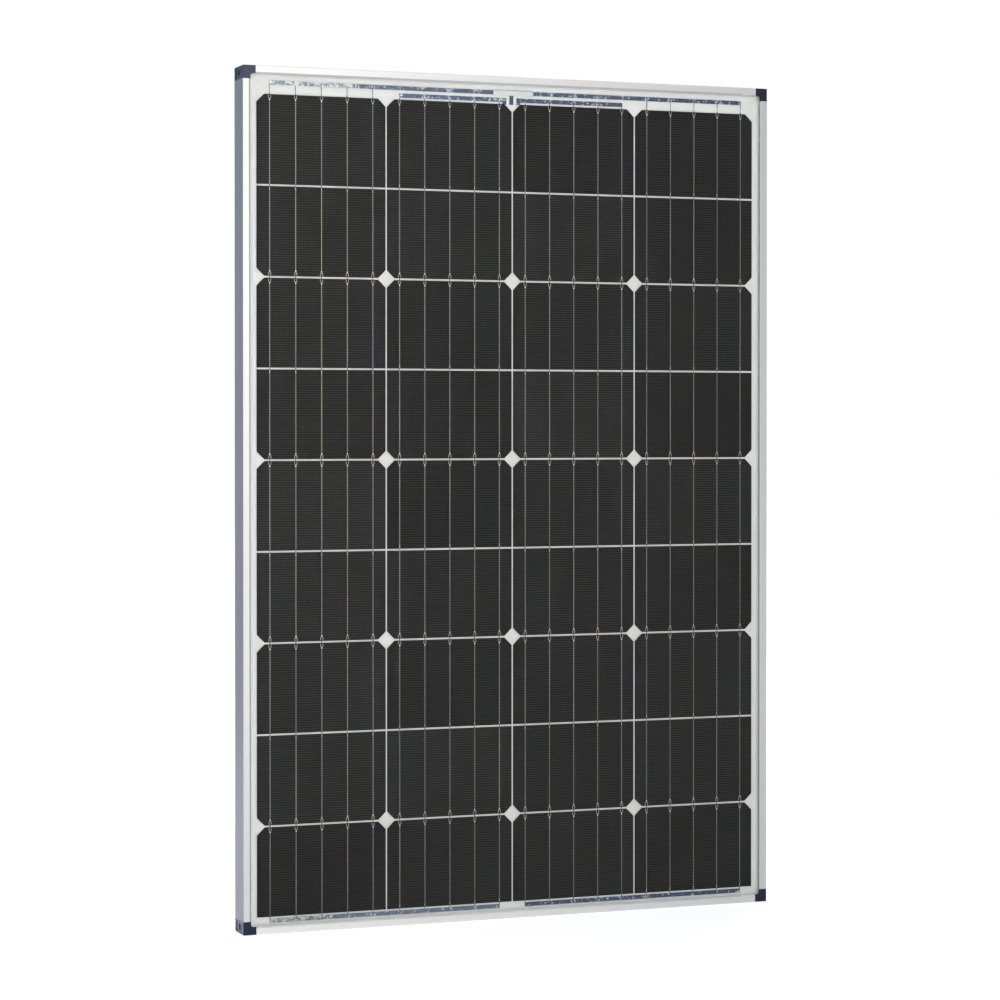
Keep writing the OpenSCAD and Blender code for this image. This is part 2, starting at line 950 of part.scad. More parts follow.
module terminal_screws() {
    z = clamp_z + clamp_w / 2;
    color("silver")
        for (side = [-1, 1]) {
            x = box_x + side * gland_off;
            difference() {
                union() {
                    rod(x, z, gland_depth + wire_r, clamp_rear + screw_head_t, screw_r);
                    rod(x, z, clamp_rear, clamp_rear + screw_head_t, screw_head_r);
                }
                slab(clamp_rear + screw_head_t / 2, clamp_rear + screw_head_t + over)
                    translate([x - screw_head_r - over, z - screw_slot_w / 2])
                        square([2 * (screw_head_r + over), screw_slot_w]);
            }
        }
}

// A diode between the ears of the middle plate and of an outer one
module diode() {
    from_x = plate_w / 2;
    to_x = gland_off - clamp_w / 2;
    translate([box_x + from_x, diode_depth - frame_d / 2, diode_z])
        rotate([0, 90, 0]) {
            cylinder(h = to_x - from_x, r = diode_wire_r);
            translate([0, 0, (to_x - from_x - diode_l) / 2])
                cylinder(h = diode_l, r = diode_r);
        }
}

module bypass_diodes() {
    color("black") {
        diode();
        translate([2 * box_x, 0, 0]) mirror([1, 0, 0]) diode();
    }
}

// Cable glands, with their axes upright under the box

module gland(x) {
    color("dimgray")
        difference() {
            union() {
                post(x, gland_depth, gland_end, box_bottom + box_wall + gland_inner_l, thread_r);
                post(x, gland_depth, gland_hex_end, box_bottom, hex_r(gland_hex_w), $fn = 6);
            }
            post(x, gland_depth, gland_end - over, box_bottom + box_wall + gland_inner_l + over,
                gland_bore_r);
        }
}

module gland_seal(x) {
    color("black")
        difference() {
            post(x, gland_depth, gland_end, gland_end + seal_l, gland_bore_r);
            post(x, gland_depth, gland_end - over, gland_end + seal_l + over, cable_r);
        }
}

module gland_nut(x) {
    color("dimgray")
        difference() {
            post(x, gland_depth, nut_bottom, nut_top, hex_r(nut_w), $fn = 6);
            post(x, gland_depth, nut_inner_end, nut_top + over, thread_r + nut_clear);
            post(x, gland_depth, nut_bottom - over, nut_inner_end + over, cable_r + nut_mouth);
        }
}

module gland_left() {
    gland(box_x - gland_off);
}

module gland_right() {
    gland(box_x + gland_off);
}

module gland_seal_left() {
    gland_seal(box_x - gland_off);
}

module gland_seal_right() {
    gland_seal(box_x + gland_off);
}

module gland_nut_left() {
    gland_nut(box_x - gland_off);
}

module gland_nut_right() {
    gland_nut(box_x + gland_off);
}

left_rail();
right_rail();
top_rail();
bottom_rail();
corner_key_top_left();
corner_key_top_right();
corner_key_bottom_left();
corner_key_bottom_right();
edge_seal();
front_glass();
front_encapsulant();
cell_string_1();
cell_string_2();
cell_string_3();
cell_string_4();
string_ribbons_1();
string_ribbons_2();
string_ribbons_3();
string_ribbons_4();
upper_bus();
left_bus();
right_bus();
bottom_bus_left();
bottom_bus_right();
lead_left();
lead_centre();
lead_right();
cover_strip();
rear_encapsulant();
backsheet();
box_adhesive();
junction_box_base();
junction_box_lid();
lid_gasket();
hinge_pin();
terminal_left();
terminal_centre();
terminal_right();
terminal_screws();
bypass_diodes();
gland_left();
gland_right();
gland_seal_left();
gland_seal_right();
gland_nut_left();
gland_nut_right();
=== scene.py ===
import math
import bpy
import numpy as np
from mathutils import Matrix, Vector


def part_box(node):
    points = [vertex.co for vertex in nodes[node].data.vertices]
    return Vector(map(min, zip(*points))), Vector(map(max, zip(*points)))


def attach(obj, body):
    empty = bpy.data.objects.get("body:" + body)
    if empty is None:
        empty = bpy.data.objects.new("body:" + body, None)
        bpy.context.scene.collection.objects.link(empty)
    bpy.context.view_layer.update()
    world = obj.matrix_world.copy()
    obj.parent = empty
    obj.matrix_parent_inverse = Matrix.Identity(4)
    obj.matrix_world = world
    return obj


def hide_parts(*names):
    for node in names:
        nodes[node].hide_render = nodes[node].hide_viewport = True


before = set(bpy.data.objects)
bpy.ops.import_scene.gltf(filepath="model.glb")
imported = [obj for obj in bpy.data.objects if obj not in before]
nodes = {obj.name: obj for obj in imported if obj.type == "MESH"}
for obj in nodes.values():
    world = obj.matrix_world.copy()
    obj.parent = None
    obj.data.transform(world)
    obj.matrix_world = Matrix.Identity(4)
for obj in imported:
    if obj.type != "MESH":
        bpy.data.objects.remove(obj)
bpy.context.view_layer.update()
scene = bpy.context.scene
scene.view_settings.view_transform = "Standard"
mm = 0.001
print("frame loaded:", len(nodes), "nodes")

# the photograph's own view, from the left and level with the middle of the glass
cameraPlan = {
    "place": (-1.2556, -3.2149, 0.5880),
    "yaw": 21.16,  # degrees to the right of straight at the glass
    "pitch": -0.581,
    "lens": 104.03,
    "sensor": 36,
    "shiftY": -0.0466,
}
cameraData = bpy.data.cameras.new("photoCamera")
cameraData.lens = cameraPlan["lens"]
cameraData.sensor_width = cameraPlan["sensor"]
cameraData.shift_y = cameraPlan["shiftY"]
camera = bpy.data.objects.new("photoCamera", cameraData)
camera.location = cameraPlan["place"]
camera.rotation_euler = (math.radians(90 + cameraPlan["pitch"]), 0, -math.radians(cameraPlan["yaw"]))
scene.collection.objects.link(camera)
scene.camera = camera
print("camera set")


def paint(red, green, blue):
    # display steps of 0 to 255 as the linear colour that a shader takes
    steps = np.array([red, green, blue]) / 255
    linear = np.where(steps <= 0.04045, steps / 12.92, ((steps + 0.055) / 1.055) ** 2.4)
    return (*map(float, linear), 1.0)


def wire(tree, socket, value):
    # a number or colour is set on the socket, another socket is linked to it
    if isinstance(value, bpy.types.NodeSocket):
        tree.links.new(value, socket)
    else:
        socket.default_value = value


def calc(tree, operation, *values):
    node = tree.nodes.new("ShaderNodeMath")
    node.operation = operation
    for socket, value in zip(node.inputs, values):
        wire(tree, socket, value)
    return node.outputs[0]


def mixColour(tree, mask, first, second, mode="MIX"):
    node = tree.nodes.new("ShaderNodeMix")
    node.data_type = "RGBA"
    node.blend_type = mode
    wire(tree, node.inputs[0], mask)
    wire(tree, node.inputs[6], first)
    wire(tree, node.inputs[7], second)
    return node.outputs[2]


def ramp(tree, value, fromLow, fromHigh, toLow, toHigh, smooth=False):
    node = tree.nodes.new("ShaderNodeMapRange")
    node.interpolation_type = "SMOOTHSTEP" if smooth else "LINEAR"
    for socket, number in zip(node.inputs, (value, fromLow, fromHigh, toLow, toHigh)):
        wire(tree, socket, number)
    return node.outputs[0]


def noise(tree, vector, scale, detail, roughness):
    node = tree.nodes.new("ShaderNodeTexNoise")
    wire(tree, node.inputs["Vector"], vector)
    wire(tree, node.inputs["Scale"], scale)
    wire(tree, node.inputs["Detail"], detail)
    wire(tree, node.inputs["Roughness"], roughness)
    return node.outputs[0]


def mapped(tree, vector, turn=(0, 0, 0), scale=(1, 1, 1)):
    node = tree.nodes.new("ShaderNodeMapping")
    wire(tree, node.inputs["Vector"], vector)
    node.inputs["Rotation"].default_value = turn
    node.inputs["Scale"].default_value = scale
    return node.outputs[0]


def bump(tree, height, strength, distance):
    node = tree.nodes.new("ShaderNodeBump")
    wire(tree, node.inputs["Height"], height)
    node.inputs["Strength"].default_value = strength
    node.inputs["Distance"].default_value = distance
    return node.outputs[0]


def startMaterial(name, **plain):
    # a Principled material, with the sockets that are the same all over set on the shader
    material = bpy.data.materials.new(name)
    material.use_nodes = True
    tree = material.node_tree
    shader = tree.nodes["Principled BSDF"]
    for key, value in plain.items():
        shader.inputs[key].default_value = value
    where = tree.nodes.new("ShaderNodeTexCoord").outputs["Object"]
    return material, tree, shader, where


def startGroup(name, inputs, outputs):
    group = bpy.data.node_groups.new(name, "ShaderNodeTree")
    for label, kind in inputs:
        group.interface.new_socket(name=label, in_out="INPUT", socket_type="NodeSocket" + kind)
    for label, kind in outputs:
        group.interface.new_socket(name=label, in_out="OUTPUT", socket_type="NodeSocket" + kind)
    return group, group.nodes.new("NodeGroupInput").outputs, group.nodes.new("NodeGroupOutput").inputs


def useGroup(tree, group, **values):
    node = tree.nodes.new("ShaderNodeGroup")
    node.node_tree = group
    for key, value in values.items():
        wire(tree, node.inputs[key], value)
    return node.outputs


def splitAxes(tree, vector):
    # the vector's X, Y and Z
    node = tree.nodes.new("ShaderNodeSeparateXYZ")
    tree.links.new(vector, node.inputs[0])
    return tuple(node.outputs)


# effects that several finishes share; a pair in a plan is a noise's detail and roughness
grainPlan = {"height": (2.0, 0.55), "tone": (4.0, 0.6)}


def makeGrain():
    # fine moulded or rolled grain: small noise for the height, broad noise for the tone
    group, given, made = startGroup(
        "grain",
        [("Vector", "Vector"), ("Fine", "Float"), ("Broad", "Float")],
        [("Height", "Float"), ("Tone", "Float")],
    )
    wire(group, made["Height"], noise(group, given["Vector"], given["Fine"], *grainPlan["height"]))
    wire(group, made["Tone"], noise(group, given["Vector"], given["Broad"], *grainPlan["tone"]))
    return group


linePlan = {"lines": (3.0, 0.7), "bands": (2.0, 0.5), "bandScale": 0.12}  # bands against lines


def makeDrawLines():
    # lines that run along a drawn or rolled metal: noise on a vector squeezed along the run
    group, given, made = startGroup(
        "drawLines",
        [("Vector", "Vector"), ("Fineness", "Float")],
        [("Lines", "Float"), ("Bands", "Float")],
    )
    wire(group, made["Lines"], noise(group, given["Vector"], given["Fineness"], *linePlan["lines"]))
    bandScale = calc(group, "MULTIPLY", given["Fineness"], linePlan["bandScale"])
    wire(group, made["Bands"], noise(group, given["Vector"], bandScale, *linePlan["bands"]))
    return group


dustPlan = {
    "patch": (4.0, 0.6),
    "patchSpan": (0.42, 0.72),  # of the noise, from no dust to most
    "speck": (2.0, 0.6),
    "speckSpan": (0.35, 0.75),
    "thinnest": 0.3,  # what lies between the specks
}


def makeDust():
    # settled dust: broad patches broken up by fine specks
    group, given, made = startGroup(
        "dust",
        [("Vector", "Vector"), ("Patch", "Float"), ("Speck", "Float"), ("Amount", "Float")],
        [("Mask", "Float")],
    )
    broad = noise(group, given["Vector"], given["Patch"], *dustPlan["patch"])
    fine = noise(group, given["Vector"], given["Speck"], *dustPlan["speck"])
    patches = ramp(group, broad, *dustPlan["patchSpan"], 0, 1, True)
    specks = ramp(group, fine, *dustPlan["speckSpan"], dustPlan["thinnest"], 1)
    dusty = calc(group, "MULTIPLY", patches, specks)
    wire(group, made["Mask"], calc(group, "MULTIPLY", dusty, given["Amount"]))
    return group


creasePlan = {"bend": (3.0, 0.6), "bendScale": 2.5}  # bends against facets


def makeCrease():
    # creases in soft tinned foil: cells with sharp borders for the facets, noise to bend them
    group, given, made = startGroup(
        "crease",
        [("Vector", "Vector"), ("Scale", "Float")],
        [("Facet", "Float"), ("Height", "Float")],
    )
    cell = group.nodes.new("ShaderNodeTexVoronoi")
    wire(group, cell.inputs["Vector"], given["Vector"])
    wire(group, cell.inputs["Scale"], given["Scale"])
    channels = group.nodes.new("ShaderNodeSeparateColor")
    group.links.new(cell.outputs["Color"], channels.inputs[0])
    wire(group, made["Facet"], channels.outputs[0])
    bendScale = calc(group, "MULTIPLY", given["Scale"], creasePlan["bendScale"])
    bend = noise(group, given["Vector"], bendScale, *creasePlan["bend"])
    wire(group, made["Height"], calc(group, "ADD", cell.outputs["Distance"], bend))
    return group


grain = makeGrain()
drawLines = makeDrawLines()
dust = makeDust()
crease = makeCrease()
print("shared effects made")

noiseSpan = (0.3, 0.7)  # where most of a noise's values lie


def grained(tree, where, scales):
    # the grain at a fine and a broad scale
    return useGroup(tree, grain, Vector=where, Fine=scales[0], Broad=scales[1])


def roughen(tree, shader, value, roughness):
    # the roughness follows a noise, from the first of two values to the second
    wire(tree, shader.inputs["Roughness"], ramp(tree, value, *noiseSpan, *roughness))


def notMask(tree, mask):
    # 1 where the mask is 0
    return calc(tree, "SUBTRACT", 1.0, mask)


# finishes of the CAD nodes; "grain" is a fine and a broad scale, "bump" a strength and a depth
railFinish = {
    # painted light: all rails are one anodised aluminium; the top and bottom rails are painted lighter than
    # the uprights to stand in for the light that falls on them
    "upright": (paint(241, 240, 237), paint(233, 233, 232)),
    "top": (paint(253, 252, 249), paint(247, 247, 246)),
    "bottom": (paint(254, 254, 252), paint(250, 250, 249)),
    # painted shade: the bevel's cooler, darker tone stands in for the shade on a bevel turned from the light
    "bevel": paint(160, 168, 192),
    "bevelShadeFade": (-0.324, -0.315),  # in X, where the left rail's painted bevel shade goes over to the next rails
    "bevelShadeShare": (0.9, 0.3),
    "wearAndHighlight": paint(255, 255, 253),  # painted highlight: the right rail's bevel, turned to the light, is painted bright
    "highlightFrom": 0.3,
    "metallic": 0.06,
    "specular": 0.2,
    "roughness": (0.36, 0.48),
    "grain": (2600.0, 14.0),
    "fineness": 900.0,
    "stretch": 0.004,  # how much slower the lines change along the rail
    "bandShare": 0.6,  # of the tone, the rest being clouds
    "toneSpan": (0.35, 0.65),
    "grainRelief": 0.5,  # against that of the lines
    "bump": (0.12, 0.02 * mm),
    "halfWidth": 334.0 * mm,
    "height": 1000.0 * mm,
    "front": -17.5 * mm,
    "bevelStart": 7.4 * mm,  # in from the panel's outer edge
    "bevelDepth": 1.3 * mm,
}


def edgeDistance(tree, x, z):
    # how far a point is in from the panel's nearest outer side
    across = calc(tree, "SUBTRACT", railFinish["halfWidth"], calc(tree, "ABSOLUTE", x))
    upward = calc(tree, "MINIMUM", z, calc(tree, "SUBTRACT", railFinish["height"], z))
    return calc(tree, "MINIMUM", across, upward)


def makeRail(name, along, tones):
    # extruded aluminium, satin anodised: fine lines along the rail, painted shade on the bevel as a cooler
    # tone, and a painted highlight on the right rail's bevel
    plain = {"Metallic": railFinish["metallic"], "Specular IOR Level": railFinish["specular"]}
    material, tree, shader, where = startMaterial(name, **plain)
    x, y, z = splitAxes(tree, where)
    squeeze = [1.0, 1.0, 1.0]
    squeeze[along] = railFinish["stretch"]
    squeezed = mapped(tree, where, scale=squeeze)
    lines = useGroup(tree, drawLines, Vector=squeezed, Fineness=railFinish["fineness"])
    texture = grained(tree, where, railFinish["grain"])
    bands = calc(tree, "MULTIPLY", lines["Bands"], railFinish["bandShare"])
    clouds = calc(tree, "MULTIPLY", texture["Tone"], 1 - railFinish["bandShare"])
    tone = ramp(tree, calc(tree, "ADD", bands, clouds), *railFinish["toneSpan"], 0, 1)
    colour = mixColour(tree, tone, tones[1], tones[0])
    depth = calc(tree, "SUBTRACT", y, railFinish["front"])
    sloped = calc(tree, "LESS_THAN", depth, railFinish["bevelDepth"])
    inner = calc(tree, "GREATER_THAN", edgeDistance(tree, x, z), railFinish["bevelStart"])
    bevel = calc(tree, "MULTIPLY", sloped, inner)
    bevelShade = ramp(tree, x, *railFinish["bevelShadeFade"], *railFinish["bevelShadeShare"])
    # painted shade: the bevel takes the cooler tone, most of it on the left rail
    colour = mixColour(tree, calc(tree, "MULTIPLY", bevel, bevelShade), colour, railFinish["bevel"])
    # painted highlight: the right rail's bevel is painted near white
    wearAndHighlight = calc(tree, "MULTIPLY", bevel, calc(tree, "GREATER_THAN", x, railFinish["highlightFrom"]))
    wire(tree, shader.inputs["Base Color"], mixColour(tree, wearAndHighlight, colour, railFinish["wearAndHighlight"]))
    roughen(tree, shader, lines["Lines"], railFinish["roughness"])
    relief = calc(tree, "MULTIPLY", texture["Height"], railFinish["grainRelief"])
    height = calc(tree, "ADD", lines["Lines"], relief)
    wire(tree, shader.inputs["Normal"], bump(tree, height, *railFinish["bump"]))
    return material


keyFinish = {
    "base": paint(25, 29, 48),
    "wearAndHighlight": paint(36, 41, 62),
    "wornShare": 0.6,
    "toneSpan": (0.35, 0.7),
    # painted shade: a darker border stands in for the shade on the front's rounded edges
    "edge": paint(17, 20, 34),
    "borderShade": (0.66 * mm, 1.1 * mm),  # in from the outer sides, where the painted shade of the rounded edge fades
    "frontDepth": 0.2 * mm,
    "side": paint(56, 63, 91),  # painted light: end faces, with the floor of their recess, painted lighter as if lit
    "sideShare": 0.8,
    "sideDepth": 1.0 * mm,
    "sideStart": 0.3 * mm,  # behind the front
    "specular": 0.26,
    "sheen": (0.7, 0.84, 1.0, 1),
    "roughness": (0.34, 0.5),
    "smoother": 0.24,  # the end faces, against the front
    "grain": (3200.0, 160.0),
    "bump": (0.25, 0.05 * mm),
}


def makeKey():
    # moulded navy plastic: cloudy tone, fine grain, smoother end faces, a painted shade as a darker border
    # around the front, and painted light on the end faces
    plain = {"IOR": 1.5, "Specular IOR Level": keyFinish["specular"], "Specular Tint": keyFinish["sheen"]}
    material, tree, shader, where = startMaterial("cornerPlastic", **plain)
    x, y, z = splitAxes(tree, where)
    texture = grained(tree, where, keyFinish["grain"])
    nearest = edgeDistance(tree, x, z)
    borderShade = ramp(tree, nearest, *keyFinish["borderShade"], 1, 0, True)
    atFront = calc(tree, "LESS_THAN", y, railFinish["front"] + keyFinish["frontDepth"])
    pastFront = calc(tree, "GREATER_THAN", y, railFinish["front"] + keyFinish["sideStart"])
    side = calc(tree, "MULTIPLY", calc(tree, "LESS_THAN", nearest, keyFinish["sideDepth"]), pastFront)
    tone = ramp(tree, texture["Tone"], *keyFinish["toneSpan"], 0, keyFinish["wornShare"])
    base = mixColour(tree, tone, keyFinish["base"], keyFinish["wearAndHighlight"])
    # painted light: the end faces and their recess floor are painted lighter
    base = mixColour(tree, calc(tree, "MULTIPLY", side, keyFinish["sideShare"]), base, keyFinish["side"])
    # painted shade along the front's rounded edges
    rim = calc(tree, "MULTIPLY", borderShade, atFront)
    wire(tree, shader.inputs["Base Color"], mixColour(tree, rim, base, keyFinish["edge"]))
    rough = ramp(tree, texture["Height"], *noiseSpan, *keyFinish["roughness"])
    rough = calc(tree, "SUBTRACT", rough, calc(tree, "MULTIPLY", side, keyFinish["smoother"]))
    wire(tree, shader.inputs["Roughness"], rough)
    wire(tree, shader.inputs["Normal"], bump(tree, texture["Height"], *keyFinish["bump"]))
    return material


glassFinish = {
    "tint": (1.0, 1.0, 0.99, 1),
    "ior": 1.04,
    "coating": (0.02, 0.02, 0.022, 1),
    "grain": (900.0, 60.0),
    "roughness": (0.03, 0.06),
}


def makeGlass():
    # coated against glare, so it mirrors little; lamps shine straight through, because shadow rays meet a
    # transparent shader in place of the clear one
    plain = {
        "Base Color": glassFinish["tint"],
        "Transmission Weight": 1.0,
        "IOR": glassFinish["ior"],
        "Specular Tint": glassFinish["coating"],
    }
    material, tree, shader, where = startMaterial("coatedGlass", **plain)
    texture = grained(tree, where, glassFinish["grain"])
    roughen(tree, shader, texture["Tone"], glassFinish["roughness"])
    clear = tree.nodes.new("ShaderNodeBsdfTransparent")
    path = tree.nodes.new("ShaderNodeLightPath")
    either = tree.nodes.new("ShaderNodeMixShader")
    tree.links.new(path.outputs["Is Shadow Ray"], either.inputs[0])
    tree.links.new(shader.outputs[0], either.inputs[1])
    tree.links.new(clear.outputs[0], either.inputs[2])
    tree.links.new(either.outputs[0], tree.nodes["Material Output"].inputs[0])
    return material


filmFinish = {
    "lipLightWhite": paint(236, 238, 234),
    "rim": (7.0 * mm, 9.0 * mm),  # in from the panel's outer edge
    "lipLightShare": 0.4,
    "cloud": (0.6, 1.0),
    "grain": (700.0, 90.0),
    "roughness": (0.4, 0.5),
}


def makeEncapsulant():
    # cured clear film: nothing of it shows in front of the cells, and behind the lip its rim is painted milky
    # white, as painted light under the lip
    plain = {"Base Color": filmFinish["lipLightWhite"], "Specular IOR Level": 0.0}
    material, tree, shader, where = startMaterial("clearFilm", **plain)
    x, _, z = splitAxes(tree, where)
    texture = grained(tree, where, filmFinish["grain"])
    # painted light under the lip: the rim is made partly opaque and white
    rim = ramp(tree, edgeDistance(tree, x, z), *filmFinish["rim"], filmFinish["lipLightShare"], 0, True)
    cloud = ramp(tree, texture["Tone"], *noiseSpan, *filmFinish["cloud"])
    wire(tree, shader.inputs["Alpha"], calc(tree, "MULTIPLY", rim, cloud))
    roughen(tree, shader, texture["Height"], filmFinish["roughness"])
    return material


cellPlan = {"strings": 4, "rows": 9, "rowGap": 2.0 * mm, "ribbons": 5}
stringBoxes = [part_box(f"cell_string_{number}") for number in range(1, cellPlan["strings"] + 1)]
cellTop = stringBoxes[0][1].z
cellBottom = stringBoxes[0][0].z
cellFront = stringBoxes[0][0].y
cellWidth = stringBoxes[0][1].x - stringBoxes[0][0].x
rowPitch = (cellTop - cellBottom + cellPlan["rowGap"]) / cellPlan["rows"]
cellHeight = rowPitch - cellPlan["rowGap"]
columnPitch = stringBoxes[1][0].x - stringBoxes[0][0].x
firstLeft = stringBoxes[0][0].x
ribbonPitch = cellWidth / cellPlan["ribbons"]
halfGap = cellPlan["rowGap"] / 2


def columnPlace(tree, x):
    # the string's number with its fraction, and how far a point is from that string's left side
    column = calc(tree, "DIVIDE", calc(tree, "SUBTRACT", x, firstLeft), columnPitch)
    return column, calc(tree, "MULTIPLY", calc(tree, "FRACT", column), columnPitch)


def ownTone(tree, first, second):
    # a value of its own for each pair of whole numbers
    place = tree.nodes.new("ShaderNodeCombineXYZ")
    tree.links.new(first, place.inputs[0])
    tree.links.new(second, place.inputs[1])
    pick = tree.nodes.new("ShaderNodeTexWhiteNoise")
    tree.links.new(place.outputs[0], pick.inputs[0])
    return pick.outputs["Value"]


siliconFinish = {
    "dark": paint(26, 27, 28),
    "light": paint(48, 48, 47),
    "edge": paint(21, 22, 25),
    "blue": paint(27, 29, 34),
    "blueSpan": (1.0, 0.45),  # in ribbon pitches from the cell's bluer side
    "fingerPitch": 2.8 * mm,
    "fingerShare": 0.55,  # of the pitch, where a printed finger lifts the tone
    "uneven": (0.75, 1.1),
    "rim": 1.1 * mm,
    "cellTones": (0.86, 1.1),
    "grain": (2500.0, 35.0),
    "roughness": (0.38, 0.5),
}


def makeSilicon():
    # coated silicon: printed fingers, an unprinted rim, one bluer side, and a tone of its own for each cell
    material, tree, shader, where = startMaterial("coatedSilicon", **{"IOR": 1.5, "Specular IOR Level": 0.02})
    x, _, z = splitAxes(tree, where)
    column, inColumn = columnPlace(tree, x)
    row = calc(tree, "DIVIDE", calc(tree, "SUBTRACT", cellTop, z), rowPitch)
    inRow = calc(tree, "MULTIPLY", calc(tree, "FRACT", row), rowPitch)
    rowNumber = calc(tree, "FLOOR", row)
    # fingers: a triangle wave down the cell, sharpened into thin lines
    half = siliconFinish["fingerPitch"] / 2
    wave = calc(tree, "PINGPONG", inRow, half)
    line = ramp(tree, wave, half * (1 - siliconFinish["fingerShare"]), half, 0, 1, True)
    # the print stops short of the cell's sides
    fromSide = calc(tree, "MINIMUM", inColumn, calc(tree, "SUBTRACT", cellWidth, inColumn))
    fromEnd = calc(tree, "MINIMUM", inRow, calc(tree, "SUBTRACT", cellHeight, inRow))
    printed = calc(tree, "GREATER_THAN", calc(tree, "MINIMUM", fromSide, fromEnd), siliconFinish["rim"])
    texture = grained(tree, where, siliconFinish["grain"])
    uneven = ramp(tree, texture["Tone"], *noiseSpan, *siliconFinish["uneven"])
    mask = calc(tree, "MULTIPLY", calc(tree, "MULTIPLY", line, printed), uneven)
    # cut cells are turned round from row to row, so the wafer's bluer side changes sides too
    turned = calc(tree, "MODULO", rowNumber, 2.0)
    swing = calc(tree, "SUBTRACT", cellWidth, calc(tree, "MULTIPLY", inColumn, 2.0))
    fromLeft = calc(tree, "ADD", inColumn, calc(tree, "MULTIPLY", turned, swing))
    blueStart, blueFull = (cellWidth - share * ribbonPitch for share in siliconFinish["blueSpan"])
    blueSide = ramp(tree, fromLeft, blueStart, blueFull, 0, 1)
    body = mixColour(tree, printed, siliconFinish["edge"], siliconFinish["dark"])
    body = mixColour(tree, blueSide, body, siliconFinish["blue"])
    colour = mixColour(tree, mask, body, siliconFinish["light"])
    own = ownTone(tree, calc(tree, "FLOOR", column), rowNumber)
    shade = ramp(tree, own, 0, 1, *siliconFinish["cellTones"])
    wire(tree, shader.inputs["Base Color"], mixColour(tree, 1.0, colour, shade, "MULTIPLY"))
    roughen(tree, shader, texture["Height"], siliconFinish["roughness"])
    return material


ribbonFinish = {
    "tan": paint(87, 82, 69),
    "pale": paint(118, 111, 95),
    "clouds": (-0.3, 0.6),  # share of the pale tone by noise, and by ribbon and cell
    "ownTones": (-0.2, 0.5),
    "flank": paint(40, 38, 34),  # dulled sides, beside the bright middle
    "core": (0.26 * mm, 0.46 * mm),  # from the middle, where the bright part fades
    "dark": paint(20, 20, 20),
    "forkLength": 4.9 * mm,
    "gap": paint(66, 77, 112),
    "stub": paint(84, 96, 130),
    "glint": paint(206, 210, 218),  # where an end above the cells catches the light
    "glints": (0.3, 1.0),
    "glintReach": 10.0 * mm,
    "numbers": 10.0,  # set aside for each string, when ribbons are numbered across the panel
    "grain": (1500.0, 260.0),
    "roughness": (0.4, 0.55),
}


def ribbonOffset(tree, x):
    # how far a point is from the middle of the nearest ribbon, and that ribbon's number across the panel
    column, inColumn = columnPlace(tree, x)
    steps = calc(tree, "DIVIDE", inColumn, ribbonPitch)
    offset = calc(tree, "ABSOLUTE", calc(tree, "SUBTRACT", calc(tree, "FRACT", steps), 0.5))
    first = calc(tree, "MULTIPLY", calc(tree, "FLOOR", column), ribbonFinish["numbers"])
    number = calc(tree, "ADD", first, calc(tree, "FLOOR", steps))
    return calc(tree, "MULTIPLY", offset, ribbonPitch), number


def makeCellRibbon():
    # tinned copper: tan along the cells, blue-grey over the gaps, dark inside a fork
    material, tree, shader, where = startMaterial("tinnedRibbon", **{"IOR": 1.5, "Metallic": 0.2})
    x, _, z = splitAxes(tree, where)
    down = calc(tree, "SUBTRACT", cellTop + halfGap, z)
    toGap = calc(tree, "PINGPONG", down, rowPitch / 2)  # to the nearest gap's middle
    toFork = calc(tree, "PINGPONG", down, rowPitch)  # to the nearest gap between clipped edges
    over = calc(tree, "LESS_THAN", toGap, halfGap)
    over = calc(tree, "MAXIMUM", over, calc(tree, "GREATER_THAN", z, cellTop))
    over = calc(tree, "MAXIMUM", over, calc(tree, "LESS_THAN", z, cellBottom))
    atFork = calc(tree, "LESS_THAN", toFork, halfGap + ribbonFinish["forkLength"])
    offset, number = ribbonOffset(tree, x)
    own = ownTone(tree, number, calc(tree, "FLOOR", calc(tree, "DIVIDE", down, rowPitch)))
    texture = grained(tree, where, ribbonFinish["grain"])
    clouds = ramp(tree, texture["Tone"], *noiseSpan, *ribbonFinish["clouds"])
    tone = calc(tree, "ADD", clouds, ramp(tree, own, 0, 1, *ribbonFinish["ownTones"]))
    tan = mixColour(tree, calc(tree, "MAXIMUM", tone, 0.0), ribbonFinish["tan"], ribbonFinish["pale"])
    outer = ramp(tree, offset, *ribbonFinish["core"], 0, 1, True)
    colour = mixColour(tree, outer, tan, ribbonFinish["flank"])
    colour = mixColour(tree, atFork, colour, ribbonFinish["dark"])
    low = ramp(tree, z, cellTop, cellTop + ribbonFinish["glintReach"], 1, 0, True)
    above = calc(tree, "MULTIPLY", calc(tree, "GREATER_THAN", z, cellTop + 2 * halfGap), low)
    glint = calc(tree, "MULTIPLY", above, ramp(tree, own, 0, 1, *ribbonFinish["glints"]))
    clear = calc(tree, "GREATER_THAN", z, cellTop + halfGap)
    bare = mixColour(tree, clear, ribbonFinish["gap"], ribbonFinish["stub"])
    bare = mixColour(tree, glint, bare, ribbonFinish["glint"])
    wire(tree, shader.inputs["Base Color"], mixColour(tree, over, colour, bare))
    roughen(tree, shader, texture["Height"], ribbonFinish["roughness"])
    return material


